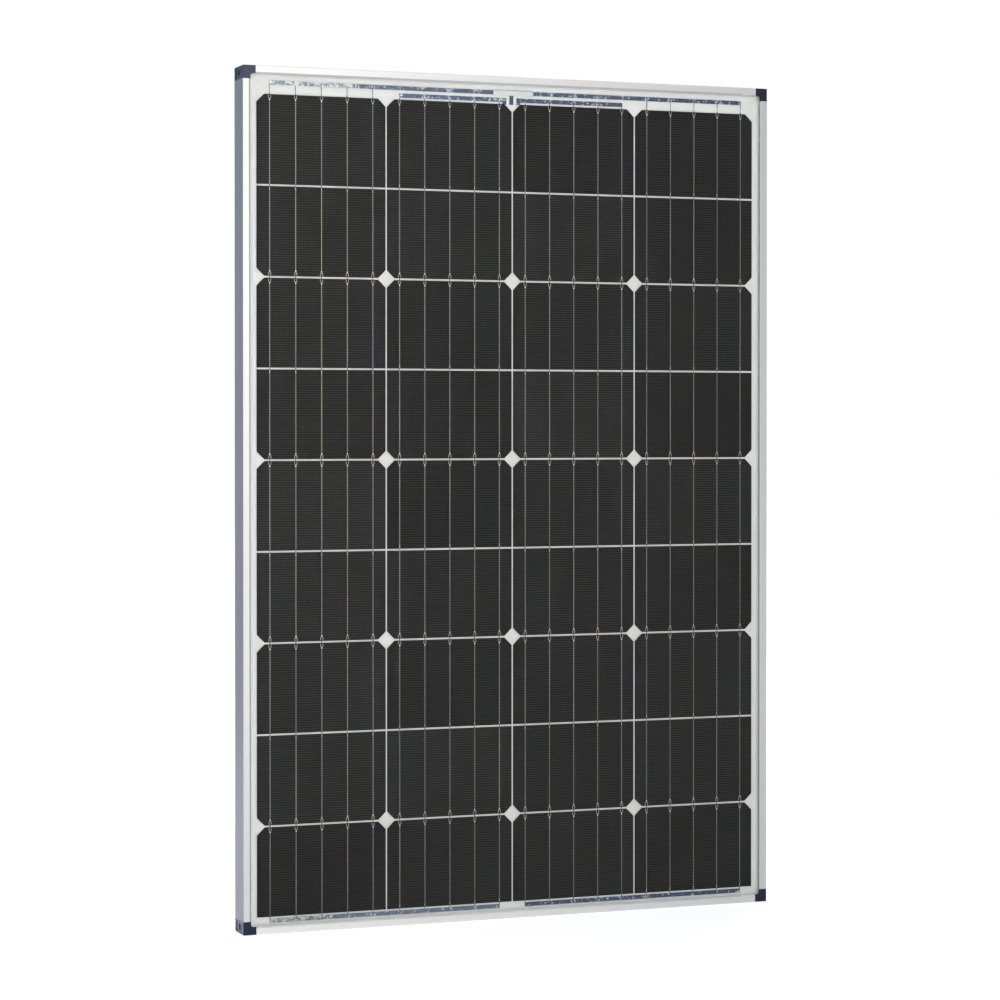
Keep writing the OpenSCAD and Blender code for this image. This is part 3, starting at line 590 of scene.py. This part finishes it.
foilFinish = {
    "dark": paint(33, 44, 69),
    "mid": paint(56, 70, 97),
    "soft": paint(84, 96, 114),
    "softened": (0.6, 1.0, 0.7),  # of every pale end, of the bottom one, and of the rest of that ribbon
    # painted reflection: the colour of the bright facets
    "light": paint(148, 152, 154),
    "facets": 520.0,
    "facetTurn": (0, 0.5, 0),
    "facetShare": 0.62,  # of what makes a facet bright, the rest being clouds
    "reflectionSpan": (0.74, 0.8),
    "specks": (0.62, 0.75, 0, 0.5),
    "lift": (0.18, 0.12, 0.2),  # more painted reflection for every pale end, more for the bottom one, and for the laps
    "lap": (1.5 * mm, 5.0 * mm),  # from a ribbon's middle, where its soldered end has creased the foil
    "topFrom": 0.5,  # above which a ribbon is one of the upper ones
    "topPale": (-0.197, -0.187),  # in X, where the creased, pale end of the upper ribbon fades
    "bottomPale": (-0.275, -0.2),
    "foldPale": (-0.0245, -0.0085),  # the folded end of the lower left ribbon
    "foldBottom": 0.972,
    "grain": (1100.0, 260.0),
    "roughness": (0.34, 0.5),
    "bump": (0.3, 0.1 * mm),
}


def makeFoil():
    # tinned collecting ribbon: dark and smooth in the middle, pale and creased at one end and at the laps;
    # its facet tones and paleness are painted reflections
    plain = {"Metallic": 0.25, "Specular IOR Level": 0.3}
    material, tree, shader, where = startMaterial("tinnedFoil", **plain)
    x, _, z = splitAxes(tree, where)
    turned = mapped(tree, where, turn=foilFinish["facetTurn"])
    folded = useGroup(tree, crease, Vector=turned, Scale=foilFinish["facets"])
    texture = grained(tree, where, foilFinish["grain"])
    top = calc(tree, "GREATER_THAN", z, foilFinish["topFrom"])
    bottom = notMask(tree, top)
    upper = calc(tree, "MULTIPLY", top, ramp(tree, x, *foilFinish["topPale"], 1, 0, True))
    lower = calc(tree, "MULTIPLY", bottom, ramp(tree, x, *foilFinish["bottomPale"], 1, 0, True))
    foldLeft, foldRight = foilFinish["foldPale"]
    fold = calc(tree, "GREATER_THAN", z, foilFinish["foldBottom"])
    fold = calc(tree, "MULTIPLY", fold, calc(tree, "GREATER_THAN", x, foldLeft))
    fold = calc(tree, "MULTIPLY", fold, calc(tree, "LESS_THAN", x, foldRight))
    pale = calc(tree, "MAXIMUM", calc(tree, "MAXIMUM", upper, lower), fold)
    offset, _ = ribbonOffset(tree, x)
    lap = ramp(tree, offset, *foilFinish["lap"], 1, 0, True)
    paleLift, lowerLift, lapLift = foilFinish["lift"]
    lift = calc(tree, "ADD", calc(tree, "MULTIPLY", pale, paleLift), calc(tree, "MULTIPLY", lap, lapLift))
    lift = calc(tree, "ADD", lift, calc(tree, "MULTIPLY", lower, lowerLift))
    # a facet gets a painted reflection where its own value and the clouds pass a limit, which the lift brings
    # down
    facet = calc(tree, "MULTIPLY", folded["Facet"], foilFinish["facetShare"])
    clouds = calc(tree, "MULTIPLY", texture["Tone"], 1 - foilFinish["facetShare"])
    lifted = calc(tree, "ADD", calc(tree, "ADD", facet, clouds), lift)
    reflectionMask = ramp(tree, lifted, *foilFinish["reflectionSpan"], 0, 1)
    # painted glints: bright specks from the fine grain
    reflectionMask = calc(tree, "MAXIMUM", reflectionMask, ramp(tree, texture["Height"], *foilFinish["specks"]))
    softPale, softLower, softBottom = foilFinish["softened"]
    soft = calc(tree, "MULTIPLY", pale, softPale)
    soft = calc(tree, "MAXIMUM", soft, calc(tree, "MULTIPLY", lower, softLower))
    leftBottom = calc(tree, "MULTIPLY", bottom, calc(tree, "LESS_THAN", x, 0.0))
    soft = calc(tree, "MAXIMUM", soft, calc(tree, "MULTIPLY", leftBottom, softBottom))
    base = mixColour(tree, folded["Facet"], foilFinish["dark"], foilFinish["mid"])
    base = mixColour(tree, soft, base, foilFinish["soft"])
    wire(tree, shader.inputs["Base Color"], mixColour(tree, reflectionMask, base, foilFinish["light"]))
    roughen(tree, shader, texture["Height"], foilFinish["roughness"])
    wire(tree, shader.inputs["Normal"], bump(tree, folded["Height"], *foilFinish["bump"]))
    return material


sheetFinish = {
    "white": paint(214, 214, 209),
    "shade": paint(207, 207, 203),
    # painted light: the margins are painted whiter than the film between the cells
    "litMargin": paint(217, 219, 216),
    "rim": paint(238, 240, 238),  # painted light: the film's edge, where it goes under the lip, painted whiter against the shade there
    "rimFade": (10.0 * mm, 18.0 * mm),  # in from the panel's outer edge
    "marginFade": (-20.0 * mm, -14.0 * mm),  # out from the outermost cells, so that it ends behind them
    "between": paint(221, 221, 216),  # painted light: between two strings the film is painted whiter, against the shade in the gap
    "clipped": 9.0 * mm,  # half the height of the diamonds between clipped corners
    "paintedFalloff": (-0.15, 0.6, 0.86, 1.04),  # painted light: the front's brightness at the lower right and at the upper left, standing in for the light's falloff
    "paintedFalloffWay": (-0.8, 0.6),  # the way along which it changes, in X and Z
    "rearFrom": 0.9 * mm,  # behind the cells' front
    "ribWidth": 1.6 * mm,
    "grainRelief": 0.12,  # against that of the ribs
    "soil": paint(206, 204, 197),
    "dust": {"Patch": 9.0, "Speck": 420.0, "Amount": 0.35},
    "grain": (1100.0, 26.0),
    "roughness": (0.5, 0.66),
    "bump": (0.35, 0.25 * mm),
}


def makeBacksheet():
    # white weatherproof film, a little mottled, with the ribbons pressed through as faint ribs at the back;
    # its front carries painted light, whiter at the margins, rim and gaps and darker towards the lower right
    material, tree, shader, where = startMaterial("whiteFilm", **{"IOR": 1.45, "Specular IOR Level": 0.3})
    x, y, z = splitAxes(tree, where)
    texture = grained(tree, where, sheetFinish["grain"])
    rear = calc(tree, "GREATER_THAN", y, cellFront + sheetFinish["rearFrom"])
    front = notMask(tree, rear)
    _, inColumn = columnPlace(tree, x)
    tone = ramp(tree, texture["Tone"], *noiseSpan, 0, 1)
    film = mixColour(tree, tone, sheetFinish["shade"], sheetFinish["white"])
    toClipped = calc(tree, "PINGPONG", calc(tree, "SUBTRACT", cellTop + halfGap, z), rowPitch)
    # painted light in the gaps between strings, outside the diamonds
    between = calc(tree, "GREATER_THAN", inColumn, cellWidth)
    between = calc(tree, "MULTIPLY", between, calc(tree, "GREATER_THAN", toClipped, sheetFinish["clipped"]))
    film = mixColour(tree, calc(tree, "MULTIPLY", between, front), film, sheetFinish["between"])
    # painted light: outside the cells the film is painted at its whitest, against the shade beside the lips
    sideways = calc(tree, "SUBTRACT", calc(tree, "ABSOLUTE", x), -firstLeft)
    above = calc(tree, "SUBTRACT", z, cellTop)
    below = calc(tree, "SUBTRACT", cellBottom, z)
    outward = calc(tree, "MAXIMUM", sideways, calc(tree, "MAXIMUM", above, below))
    marginLightMask = calc(tree, "MULTIPLY", ramp(tree, outward, *sheetFinish["marginFade"], 0, 1), front)
    inside = ramp(tree, edgeDistance(tree, x, z), *sheetFinish["rimFade"], 0, 1)
    film = mixColour(tree, marginLightMask, film, mixColour(tree, inside, sheetFinish["rim"], sheetFinish["litMargin"]))
    # painted light: the front is darker towards the lower right, as the light falls off
    wayX, wayZ = sheetFinish["paintedFalloffWay"]
    diagonal = calc(tree, "ADD", calc(tree, "MULTIPLY", x, wayX), calc(tree, "MULTIPLY", z, wayZ))
    paintedFalloff = mixColour(tree, 1.0, film, ramp(tree, diagonal, *sheetFinish["paintedFalloff"]), "MULTIPLY")
    film = mixColour(tree, front, film, paintedFalloff)
    specks = useGroup(tree, dust, Vector=where, **sheetFinish["dust"])
    soiled = calc(tree, "MULTIPLY", specks["Mask"], rear)
    wire(tree, shader.inputs["Base Color"], mixColour(tree, soiled, film, sheetFinish["soil"]))
    roughen(tree, shader, texture["Height"], sheetFinish["roughness"])
    halfPitch = ribbonPitch / 2
    toRib = calc(tree, "PINGPONG", inColumn, halfPitch)
    rib = ramp(tree, toRib, halfPitch - sheetFinish["ribWidth"], halfPitch, 0, 1, True)
    relief = calc(tree, "MULTIPLY", texture["Height"], sheetFinish["grainRelief"])
    height = calc(tree, "ADD", calc(tree, "MULTIPLY", rib, rear), relief)
    wire(tree, shader.inputs["Normal"], bump(tree, height, *sheetFinish["bump"]))
    return material


mouldedPlan = {"toneSpan": (0.35, 0.68), "depth": 0.06 * mm}


def makePlain(name, tones, rough, scales, relief, **plain):
    # a moulded, cast or turned finish: two tones by broad grain, roughness and relief by fine grain
    material, tree, shader, where = startMaterial(name, **plain)
    texture = grained(tree, where, scales)
    tone = ramp(tree, texture["Tone"], *mouldedPlan["toneSpan"], 0, 1)
    first, second = (paint(*steps) for steps in tones)
    wire(tree, shader.inputs["Base Color"], mixColour(tree, tone, first, second))
    roughen(tree, shader, texture["Height"], rough)
    wire(tree, shader.inputs["Normal"], bump(tree, texture["Height"], relief, mouldedPlan["depth"]))
    return material


plainPlans = {
    "siliconeSeal": {
        "tones": ((226, 227, 224), (236, 237, 234)),
        "rough": (0.45, 0.6),
        "scales": (900.0, 60.0),
        "relief": 0.3,
    },
    "glue": {
        "tones": ((206, 207, 203), (222, 223, 219)),
        "rough": (0.4, 0.55),
        "scales": (500.0, 80.0),
        "relief": 0.5,
    },
    "boxPlastic": {
        "tones": ((25, 26, 28), (35, 36, 38)),
        "rough": (0.42, 0.6),
        "scales": (2400.0, 55.0),
        "relief": 0.5,
    },
    "rubber": {
        "tones": ((21, 21, 22), (30, 30, 31)),
        "rough": (0.62, 0.8),
        "scales": (1900.0, 120.0),
        "relief": 0.5,
    },
    "pinSteel": {
        "tones": ((168, 170, 173), (190, 192, 194)),
        "rough": (0.22, 0.36),
        "scales": (2600.0, 300.0),
        "relief": 0.2,
        "Metallic": 1.0,
    },
    "tinnedBrass": {
        "tones": ((191, 172, 116), (208, 192, 140)),
        "rough": (0.25, 0.4),
        "scales": (2200.0, 220.0),
        "relief": 0.25,
        "Metallic": 1.0,
    },
    "diodeBody": {
        "tones": ((24, 24, 26), (34, 34, 36)),
        "rough": (0.4, 0.52),
        "scales": (2800.0, 300.0),
        "relief": 0.35,
    },
    "silverPrint": {
        "tones": ((132, 125, 108), (158, 150, 132)),
        "rough": (0.45, 0.6),
        "scales": (1600.0, 300.0),
        "relief": 0.2,
        "Metallic": 0.1,
    },
    "solder": {
        "tones": ((178, 171, 154), (203, 196, 179)),
        "rough": (0.3, 0.42),
        "scales": (1500.0, 400.0),
        "relief": 0.2,
        "Metallic": 0.3,
    },
}
plainFinishes = {name: makePlain(name, **plan) for name, plan in plainPlans.items()}

stripFinish = {
    "white": paint(178, 182, 179),
    "shade": paint(169, 173, 170),
    "under": paint(118, 131, 156),  # the ribbon's edge, seen through the thin strip
    "underShare": 0.8,
    "reach": (1.0 * mm, 1.6 * mm),  # down from the strip's top
    "grain": (1400.0, 90.0),
    "roughness": (0.5, 0.6),
    "bump": (0.15, 0.06 * mm),
}


def makeStrip():
    # thin white strip: even, with a fine grain, and a bluish line along its top
    material, tree, shader, where = startMaterial("whiteStrip")
    _, _, z = splitAxes(tree, where)
    texture = grained(tree, where, stripFinish["grain"])
    down = calc(tree, "SUBTRACT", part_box("cover_strip")[1].z, z)
    tone = ramp(tree, texture["Tone"], *mouldedPlan["toneSpan"], 0, 1)
    film = mixColour(tree, tone, stripFinish["shade"], stripFinish["white"])
    edge = ramp(tree, down, *stripFinish["reach"], stripFinish["underShare"], 0, True)
    wire(tree, shader.inputs["Base Color"], mixColour(tree, edge, film, stripFinish["under"]))
    roughen(tree, shader, texture["Height"], stripFinish["roughness"])
    wire(tree, shader.inputs["Normal"], bump(tree, texture["Height"], *stripFinish["bump"]))
    return material


# lit and shaded copies of one aluminium: the rails differ only by the painted light in their tones
railUpright = makeRail("railUpright", 2, railFinish["upright"])
railTop = makeRail("railTop", 0, railFinish["top"])
railBottom = makeRail("railBottom", 0, railFinish["bottom"])
keyPlastic = makeKey()
coatedGlass = makeGlass()
clearFilm = makeEncapsulant()
coatedSilicon = makeSilicon()
tinnedRibbon = makeCellRibbon()
foil = makeFoil()
whiteFilm = makeBacksheet()

finishOfNode = {
    "left_rail": railUpright,
    "right_rail": railUpright,
    "top_rail": railTop,
    "bottom_rail": railBottom,
    "edge_seal": plainFinishes["siliconeSeal"],
    "front_glass": coatedGlass,
    "front_encapsulant": clearFilm,
    "rear_encapsulant": clearFilm,
    "backsheet": whiteFilm,
    "cover_strip": makeStrip(),
    "box_adhesive": plainFinishes["glue"],
    "junction_box_base": plainFinishes["boxPlastic"],
    "junction_box_lid": plainFinishes["boxPlastic"],
    "lid_gasket": plainFinishes["rubber"],
    "hinge_pin": plainFinishes["pinSteel"],
    "terminal_screws": plainFinishes["pinSteel"],
    "bypass_diodes": plainFinishes["diodeBody"],
}
for corner in ("top_left", "top_right", "bottom_left", "bottom_right"):
    finishOfNode["corner_key_" + corner] = keyPlastic
for number in range(1, cellPlan["strings"] + 1):
    finishOfNode[f"cell_string_{number}"] = coatedSilicon
    finishOfNode[f"string_ribbons_{number}"] = tinnedRibbon
for bus in ("upper_bus", "left_bus", "right_bus", "bottom_bus_left", "bottom_bus_right"):
    finishOfNode[bus] = foil
for side in ("left", "centre", "right"):
    finishOfNode["lead_" + side] = foil
    finishOfNode["terminal_" + side] = plainFinishes["tinnedBrass"]
for side in ("left", "right"):
    finishOfNode["gland_" + side] = plainFinishes["boxPlastic"]
    finishOfNode["gland_nut_" + side] = plainFinishes["boxPlastic"]
    finishOfNode["gland_seal_" + side] = plainFinishes["rubber"]
for name, node in nodes.items():
    node.data.materials.clear()
    node.data.materials.append(finishOfNode[name])
print("finishes assigned to", len(finishOfNode), "nodes")


# pieces that the CAD leaves to the scene
def closedSheets(front, back):
    # front and back are (copies, n, m, 3) grids of points, which get quads over both faces of each copy and
    # around its rim
    copies, n, m = front.shape[:3]
    index = np.arange(n * m).reshape(n, m)
    face = np.stack([index[:-1, :-1], index[1:, :-1], index[1:, 1:], index[:-1, 1:]], -1).reshape(-1, 4)
    loop = np.concatenate([index[:-1, 0], index[-1, :-1], index[:0:-1, -1], index[0, :0:-1]])
    after = np.roll(loop, -1)
    rim = np.stack([loop, loop + n * m, after + n * m, after], -1)
    one = np.concatenate([face, face[:, ::-1] + n * m, rim])
    quads = (one[None] + (np.arange(copies) * 2 * n * m)[:, None, None]).reshape(-1, 4)
    points = np.concatenate([front.reshape(copies, -1, 3), back.reshape(copies, -1, 3)], 1).reshape(-1, 3)
    return points, quads


def addPiece(name, points, quads, material, slot, smooth=False, body="panel"):
    mesh = bpy.data.meshes.new(name)
    mesh.from_pydata(points.tolist(), [], quads.tolist())
    mesh.materials.append(material)
    mesh.polygons.foreach_set("use_smooth", np.full(len(quads), smooth))
    mesh.update()
    piece = bpy.data.objects.new(name, mesh)
    scene.collection.objects.link(piece)
    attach(piece, body)
    return piece


def stripGrid(path, halfWidth, depth):
    # path is (copies, points, 2) in X and Z; the grid's two edges lie half a width to each side of it
    along = np.gradient(path, axis=1)
    along /= np.linalg.norm(along, axis=2, keepdims=True)
    side = np.stack([along[..., 1], -along[..., 0]], -1) * halfWidth
    edges = np.stack([path - side, path + side], 2)
    return np.stack([edges[..., 0], np.full(edges.shape[:3], depth), edges[..., 1]], -1)


def smoothStep(low, high, value):
    share = np.clip((value - low) / (high - low), 0, 1)
    return share * share * (3 - 2 * share)


printPlan = {
    "barWidth": 0.9 * mm,
    "legWidth": 0.55 * mm,
    "legSpread": 1.5 * mm,  # half the width of a fork
    "legPinch": 0.25,  # how much of that the tips turn in again
    "legEase": (0.5, 1.0),  # of a leg's length, where it eases in to the bar
    "mouth": 1.0 * mm,  # from the cell's edge to the fork's tips
    "join": 5.6 * mm,  # from the cell's edge to where the legs meet
    "stop": 0.7 * mm,  # from the cut edge to the bar's end
    "proud": 0.03 * mm,
    "sunk": 0.02 * mm,
    "legPoints": 9,
}


def cellLayout(left):
    # for each cell and ribbon of a string: the ribbon's middle, the clipped edge's height, the way in from it
    # and the cut edge's height
    row = np.arange(cellPlan["rows"])
    ribbon = np.arange(cellPlan["ribbons"])
    middles = left + cellWidth * (ribbon + 0.5) / cellPlan["ribbons"]
    top = cellTop - row * rowPitch
    clippedTop = row % 2 == 0
    edge = np.where(clippedTop, top, top - cellHeight)
    inward = np.where(clippedTop, -1.0, 1.0)
    cutEdge = edge + inward * cellHeight
    shape = (cellPlan["rows"], cellPlan["ribbons"])
    spread = [np.broadcast_to(values[:, None], shape).ravel() for values in (edge, inward, cutEdge)]
    return np.broadcast_to(middles, shape).ravel(), *spread


def makePrint(number, left):
    # bars run from the fork's join to the cut edge; a leg's spread swells from its tip to mid-way as a
    # square curve, then eases in to the bar
    middle, edge, inward, cutEdge = cellLayout(left)
    share = np.linspace(0, 1, printPlan["legPoints"])
    reach = printPlan["mouth"] + share * (printPlan["join"] - printPlan["mouth"])
    swell = 1 - printPlan["legPinch"] * np.clip(1 - 2 * share, 0, 1) ** 2
    spread = printPlan["legSpread"] * swell * (1 - smoothStep(*printPlan["legEase"], share))
    front = cellFront - printPlan["proud"]
    back = cellFront + printPlan["sunk"]
    parts = []
    for way in (-1, 1):
        x = middle[:, None] + way * spread
        z = edge[:, None] + inward[:, None] * reach
        path = np.stack([x, z], -1)
        parts.append([stripGrid(path, printPlan["legWidth"] / 2, depth) for depth in (front, back)])
    barZ = np.stack([edge + inward * printPlan["join"], cutEdge - inward * printPlan["stop"]], 1)
    path = np.stack([np.broadcast_to(middle[:, None], barZ.shape), barZ], -1)
    parts.append([stripGrid(path, printPlan["barWidth"] / 2, depth) for depth in (front, back)])
    points, quads, count = [], [], 0
    for faces in parts:
        some, corners = closedSheets(*faces)
        points.append(some)
        quads.append(corners + count)
        count += len(some)
    silver = plainFinishes["silverPrint"]
    addPiece(f"cell_print_{number}", np.concatenate(points), np.concatenate(quads), silver, "cell_ribbon")


beadPlan = {
    "halfWidth": 0.65 * mm,
    "halfLength": 1.0 * mm,
    "height": 0.12 * mm,
    "inset": 5.9 * mm,  # from the clipped edge
    "rounded": 0.5,  # how far the patch's corners are drawn in
    "proud": 0.01 * mm,
    "sunk": 0.05 * mm,
    "steps": 5,
}


def makeBeads(number, left):
    # a solder bead: a pillow whose height falls off as (1 - u squared)(1 - v squared) over its patch
    middle, edge, inward, _ = cellLayout(left)
    steps = np.linspace(-1, 1, beadPlan["steps"])
    u, v = np.meshgrid(steps, steps, indexing="ij")
    narrowed = np.sqrt(1 - beadPlan["rounded"] * v * v)
    shortened = np.sqrt(1 - beadPlan["rounded"] * u * u)
    x = middle[:, None, None] + beadPlan["halfWidth"] * u * narrowed
    z = (edge + inward * beadPlan["inset"])[:, None, None] + beadPlan["halfLength"] * v * shortened
    rise = beadPlan["height"] * (1 - u * u) * (1 - v * v)
    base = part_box("string_ribbons_1")[0].y
    front = np.stack([x, np.broadcast_to(base - rise - beadPlan["proud"], x.shape), z], -1)
    back = np.stack([x, np.full(x.shape, base + beadPlan["sunk"]), z], -1)
    solder = plainFinishes["solder"]
    addPiece(f"solder_beads_{number}", *closedSheets(front, back), solder, "cell_ribbon", True)


foilPlan = {
    "nodes": ("upper_bus", "left_bus", "right_bus", "bottom_bus_left", "bottom_bus_right"),
    "step": 1.1 * mm,
    "rows": 7,
    "depth": 0.09 * mm,
    # each fold: its turn in degrees, its length and its share of the depth
    "folds": ((28, 6.1 * mm, 0.34), (-41, 4.3 * mm, 0.28), (74, 3.2 * mm, 0.16), (8, 9.7 * mm, 0.22)),
    "seed": 5,
}


def makeFoilStrips():
    # creases are a sum of triangle waves that cross the strip at different turns, pressed in from its flat
    # front
    chance = np.random.default_rng(foilPlan["seed"])
    for node in foilPlan["nodes"]:
        low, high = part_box(node)
        count = int((high.x - low.x) / foilPlan["step"]) + 2
        across = np.linspace(low.x, high.x, count)
        upward = np.linspace(low.z, high.z, foilPlan["rows"])
        x, z = np.meshgrid(across, upward, indexing="ij")
        press = np.zeros_like(x)
        for turn, length, share in foilPlan["folds"]:
            angle = math.radians(turn)
            phase = (x * math.cos(angle) + z * math.sin(angle)) / length + chance.random()
            press += share * np.abs(2 * (phase - np.floor(phase)) - 1)
        front = np.stack([x, low.y + foilPlan["depth"] * press, z], -1)[None]
        back = np.stack([x, np.full_like(x, high.y), z], -1)[None]
        piece = addPiece(node + "_creased", *closedSheets(front, back), foil, "collecting_ribbon")
        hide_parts(node)


makeFoilStrips()
print("collecting ribbons creased")

for number, (low, _) in enumerate(stringBoxes, 1):
    makePrint(number, low.x)
    makeBeads(number, low.x)
print("cell print and solder made")


# floor, world and lamps
floorPlan = {
    "half": 12.0,
    "white": paint(212, 212, 212),
    "roughness": 0.9,
    "lift": (0.8, 1.0),  # its glow under the panel and far from it
    "fade": (0.5, 1.5),
    "seen": (1, 1, 1, 1),
    "mirrored": (0.92, 1.02, 1.4, 1),  # what shiny faces see of it
}
squareCorners = ((-1, -1), (1, -1), (1, 1), (-1, 1))
floorMesh = bpy.data.meshes.new("studioFloor")
floorCorners = [(i * floorPlan["half"], j * floorPlan["half"], 0) for i, j in squareCorners]
floorMesh.from_pydata(floorCorners, [], [[0, 1, 2, 3]])
floor = bpy.data.objects.new("studioFloor", floorMesh)
scene.collection.objects.link(floor)


def seenDirectly(tree):
    # 1 for rays that show the background: from the camera, off shiny faces and through glass
    path = tree.nodes.new("ShaderNodeLightPath").outputs
    mirrored = calc(tree, "MAXIMUM", path["Is Glossy Ray"], path["Is Transmission Ray"])
    return calc(tree, "MAXIMUM", path["Is Camera Ray"], mirrored)


floorPlain = {
    "Base Color": floorPlan["white"],
    "Roughness": floorPlan["roughness"],
    "Specular IOR Level": 0.0,
}
floorMaterial, floorTree, floorShader, floorWhere = startMaterial("studioFloor", **floorPlain)
floorPath = floorTree.nodes.new("ShaderNodeLightPath").outputs
notThrough = notMask(floorTree, floorPath["Is Transmission Ray"])
shiny = calc(floorTree, "MULTIPLY", floorPath["Is Glossy Ray"], notThrough)
glow = mixColour(floorTree, shiny, floorPlan["seen"], floorPlan["mirrored"])
wire(floorTree, floorShader.inputs["Emission Color"], glow)
away = floorTree.nodes.new("ShaderNodeVectorMath")
away.operation = "LENGTH"
floorTree.links.new(floorWhere, away.inputs[0])
lift = ramp(floorTree, away.outputs["Value"], *floorPlan["fade"], *floorPlan["lift"], True)
strength = calc(floorTree, "MULTIPLY", seenDirectly(floorTree), lift)
wire(floorTree, floorShader.inputs["Emission Strength"], strength)
floorMesh.materials.append(floorMaterial)

worldPlan = {"ambient": (0.66, 0.78, 1.0, 1), "strength": 0.215, "seen": (1, 1, 1, 1), "seenStrength": 1.0}
world = bpy.data.worlds.new("studio")
world.use_nodes = True
scene.world = world
worldTree = world.node_tree
ambient = worldTree.nodes["Background"]
ambient.inputs[0].default_value = worldPlan["ambient"]
ambient.inputs[1].default_value = worldPlan["strength"]
white = worldTree.nodes.new("ShaderNodeBackground")
white.inputs[0].default_value = worldPlan["seen"]
white.inputs[1].default_value = worldPlan["seenStrength"]
choose = worldTree.nodes.new("ShaderNodeMixShader")
worldTree.links.new(seenDirectly(worldTree), choose.inputs[0])
worldTree.links.new(ambient.outputs[0], choose.inputs[1])
worldTree.links.new(white.outputs[0], choose.inputs[2])
worldTree.links.new(choose.outputs[0], worldTree.nodes["World Output"].inputs[0])

lampPlan = {
    "key": {
        "place": (0.12, -3.2, 1.24),
        "aim": (-0.85, 0, 0.44),
        "size": 0.6,
        "spread": 66,
        "power": 11.8,
        "colour": (1.0, 0.96, 0.89),
    },
    "back": {
        "place": (1.6, 2.6, 2.0),
        "aim": (0, 0, 0.6),
        "size": 1.8,
        "spread": 180,
        "power": 78,
        "colour": (1.0, 0.98, 0.94),
    },
}
for name, plan in lampPlan.items():
    lampData = bpy.data.lights.new(name + "Lamp", "AREA")
    lampData.shape = "SQUARE"
    lampData.size = plan["size"]
    lampData.energy = plan["power"]
    lampData.spread = math.radians(plan["spread"])
    lampData.color = plan["colour"]
    lamp = bpy.data.objects.new(name + "Lamp", lampData)
    lamp.location = plan["place"]
    lamp.visible_camera = False
    way = np.array(plan["aim"]) - np.array(plan["place"])
    flat = math.hypot(way[0], way[1])
    lamp.rotation_euler = (math.atan2(flat, -way[2]), 0, math.atan2(-way[0], way[1]))
    scene.collection.objects.link(lamp)

# a grey card behind the left side, out of the picture, which the side faces mirror
cardPlan = {
    "place": (-0.85, 1.2, 1.3),
    "half": 1.25,
    "turn": -24.0,
    "base": (0, 0, 0, 1),
    "glow": (0.42, 0.5, 0.68, 1),
    "strength": 1.0,
}
turn = math.radians(cardPlan["turn"])
cardAcross = np.array([math.cos(turn), -math.sin(turn), 0]) * cardPlan["half"]
cardUp = np.array([0, 0, cardPlan["half"]])
cardMiddle = np.array(cardPlan["place"])
cardMesh = bpy.data.meshes.new("greyCard")
cardMesh.from_pydata(
    [(cardMiddle + i * cardAcross + j * cardUp).tolist() for i, j in squareCorners],
    [],
    [[0, 1, 2, 3]],
)
cardPlain = {"Base Color": cardPlan["base"], "Specular IOR Level": 0.0}
cardMaterial, _, cardShader, _ = startMaterial("greyCard", **cardPlain)
cardShader.inputs["Emission Color"].default_value = cardPlan["glow"]
cardShader.inputs["Emission Strength"].default_value = cardPlan["strength"]
cardMesh.materials.append(cardMaterial)
card = bpy.data.objects.new("greyCard", cardMesh)
card.visible_camera = False
card.visible_diffuse = False
card.visible_transmission = False
card.visible_shadow = False
scene.collection.objects.link(card)
print("stage lit")
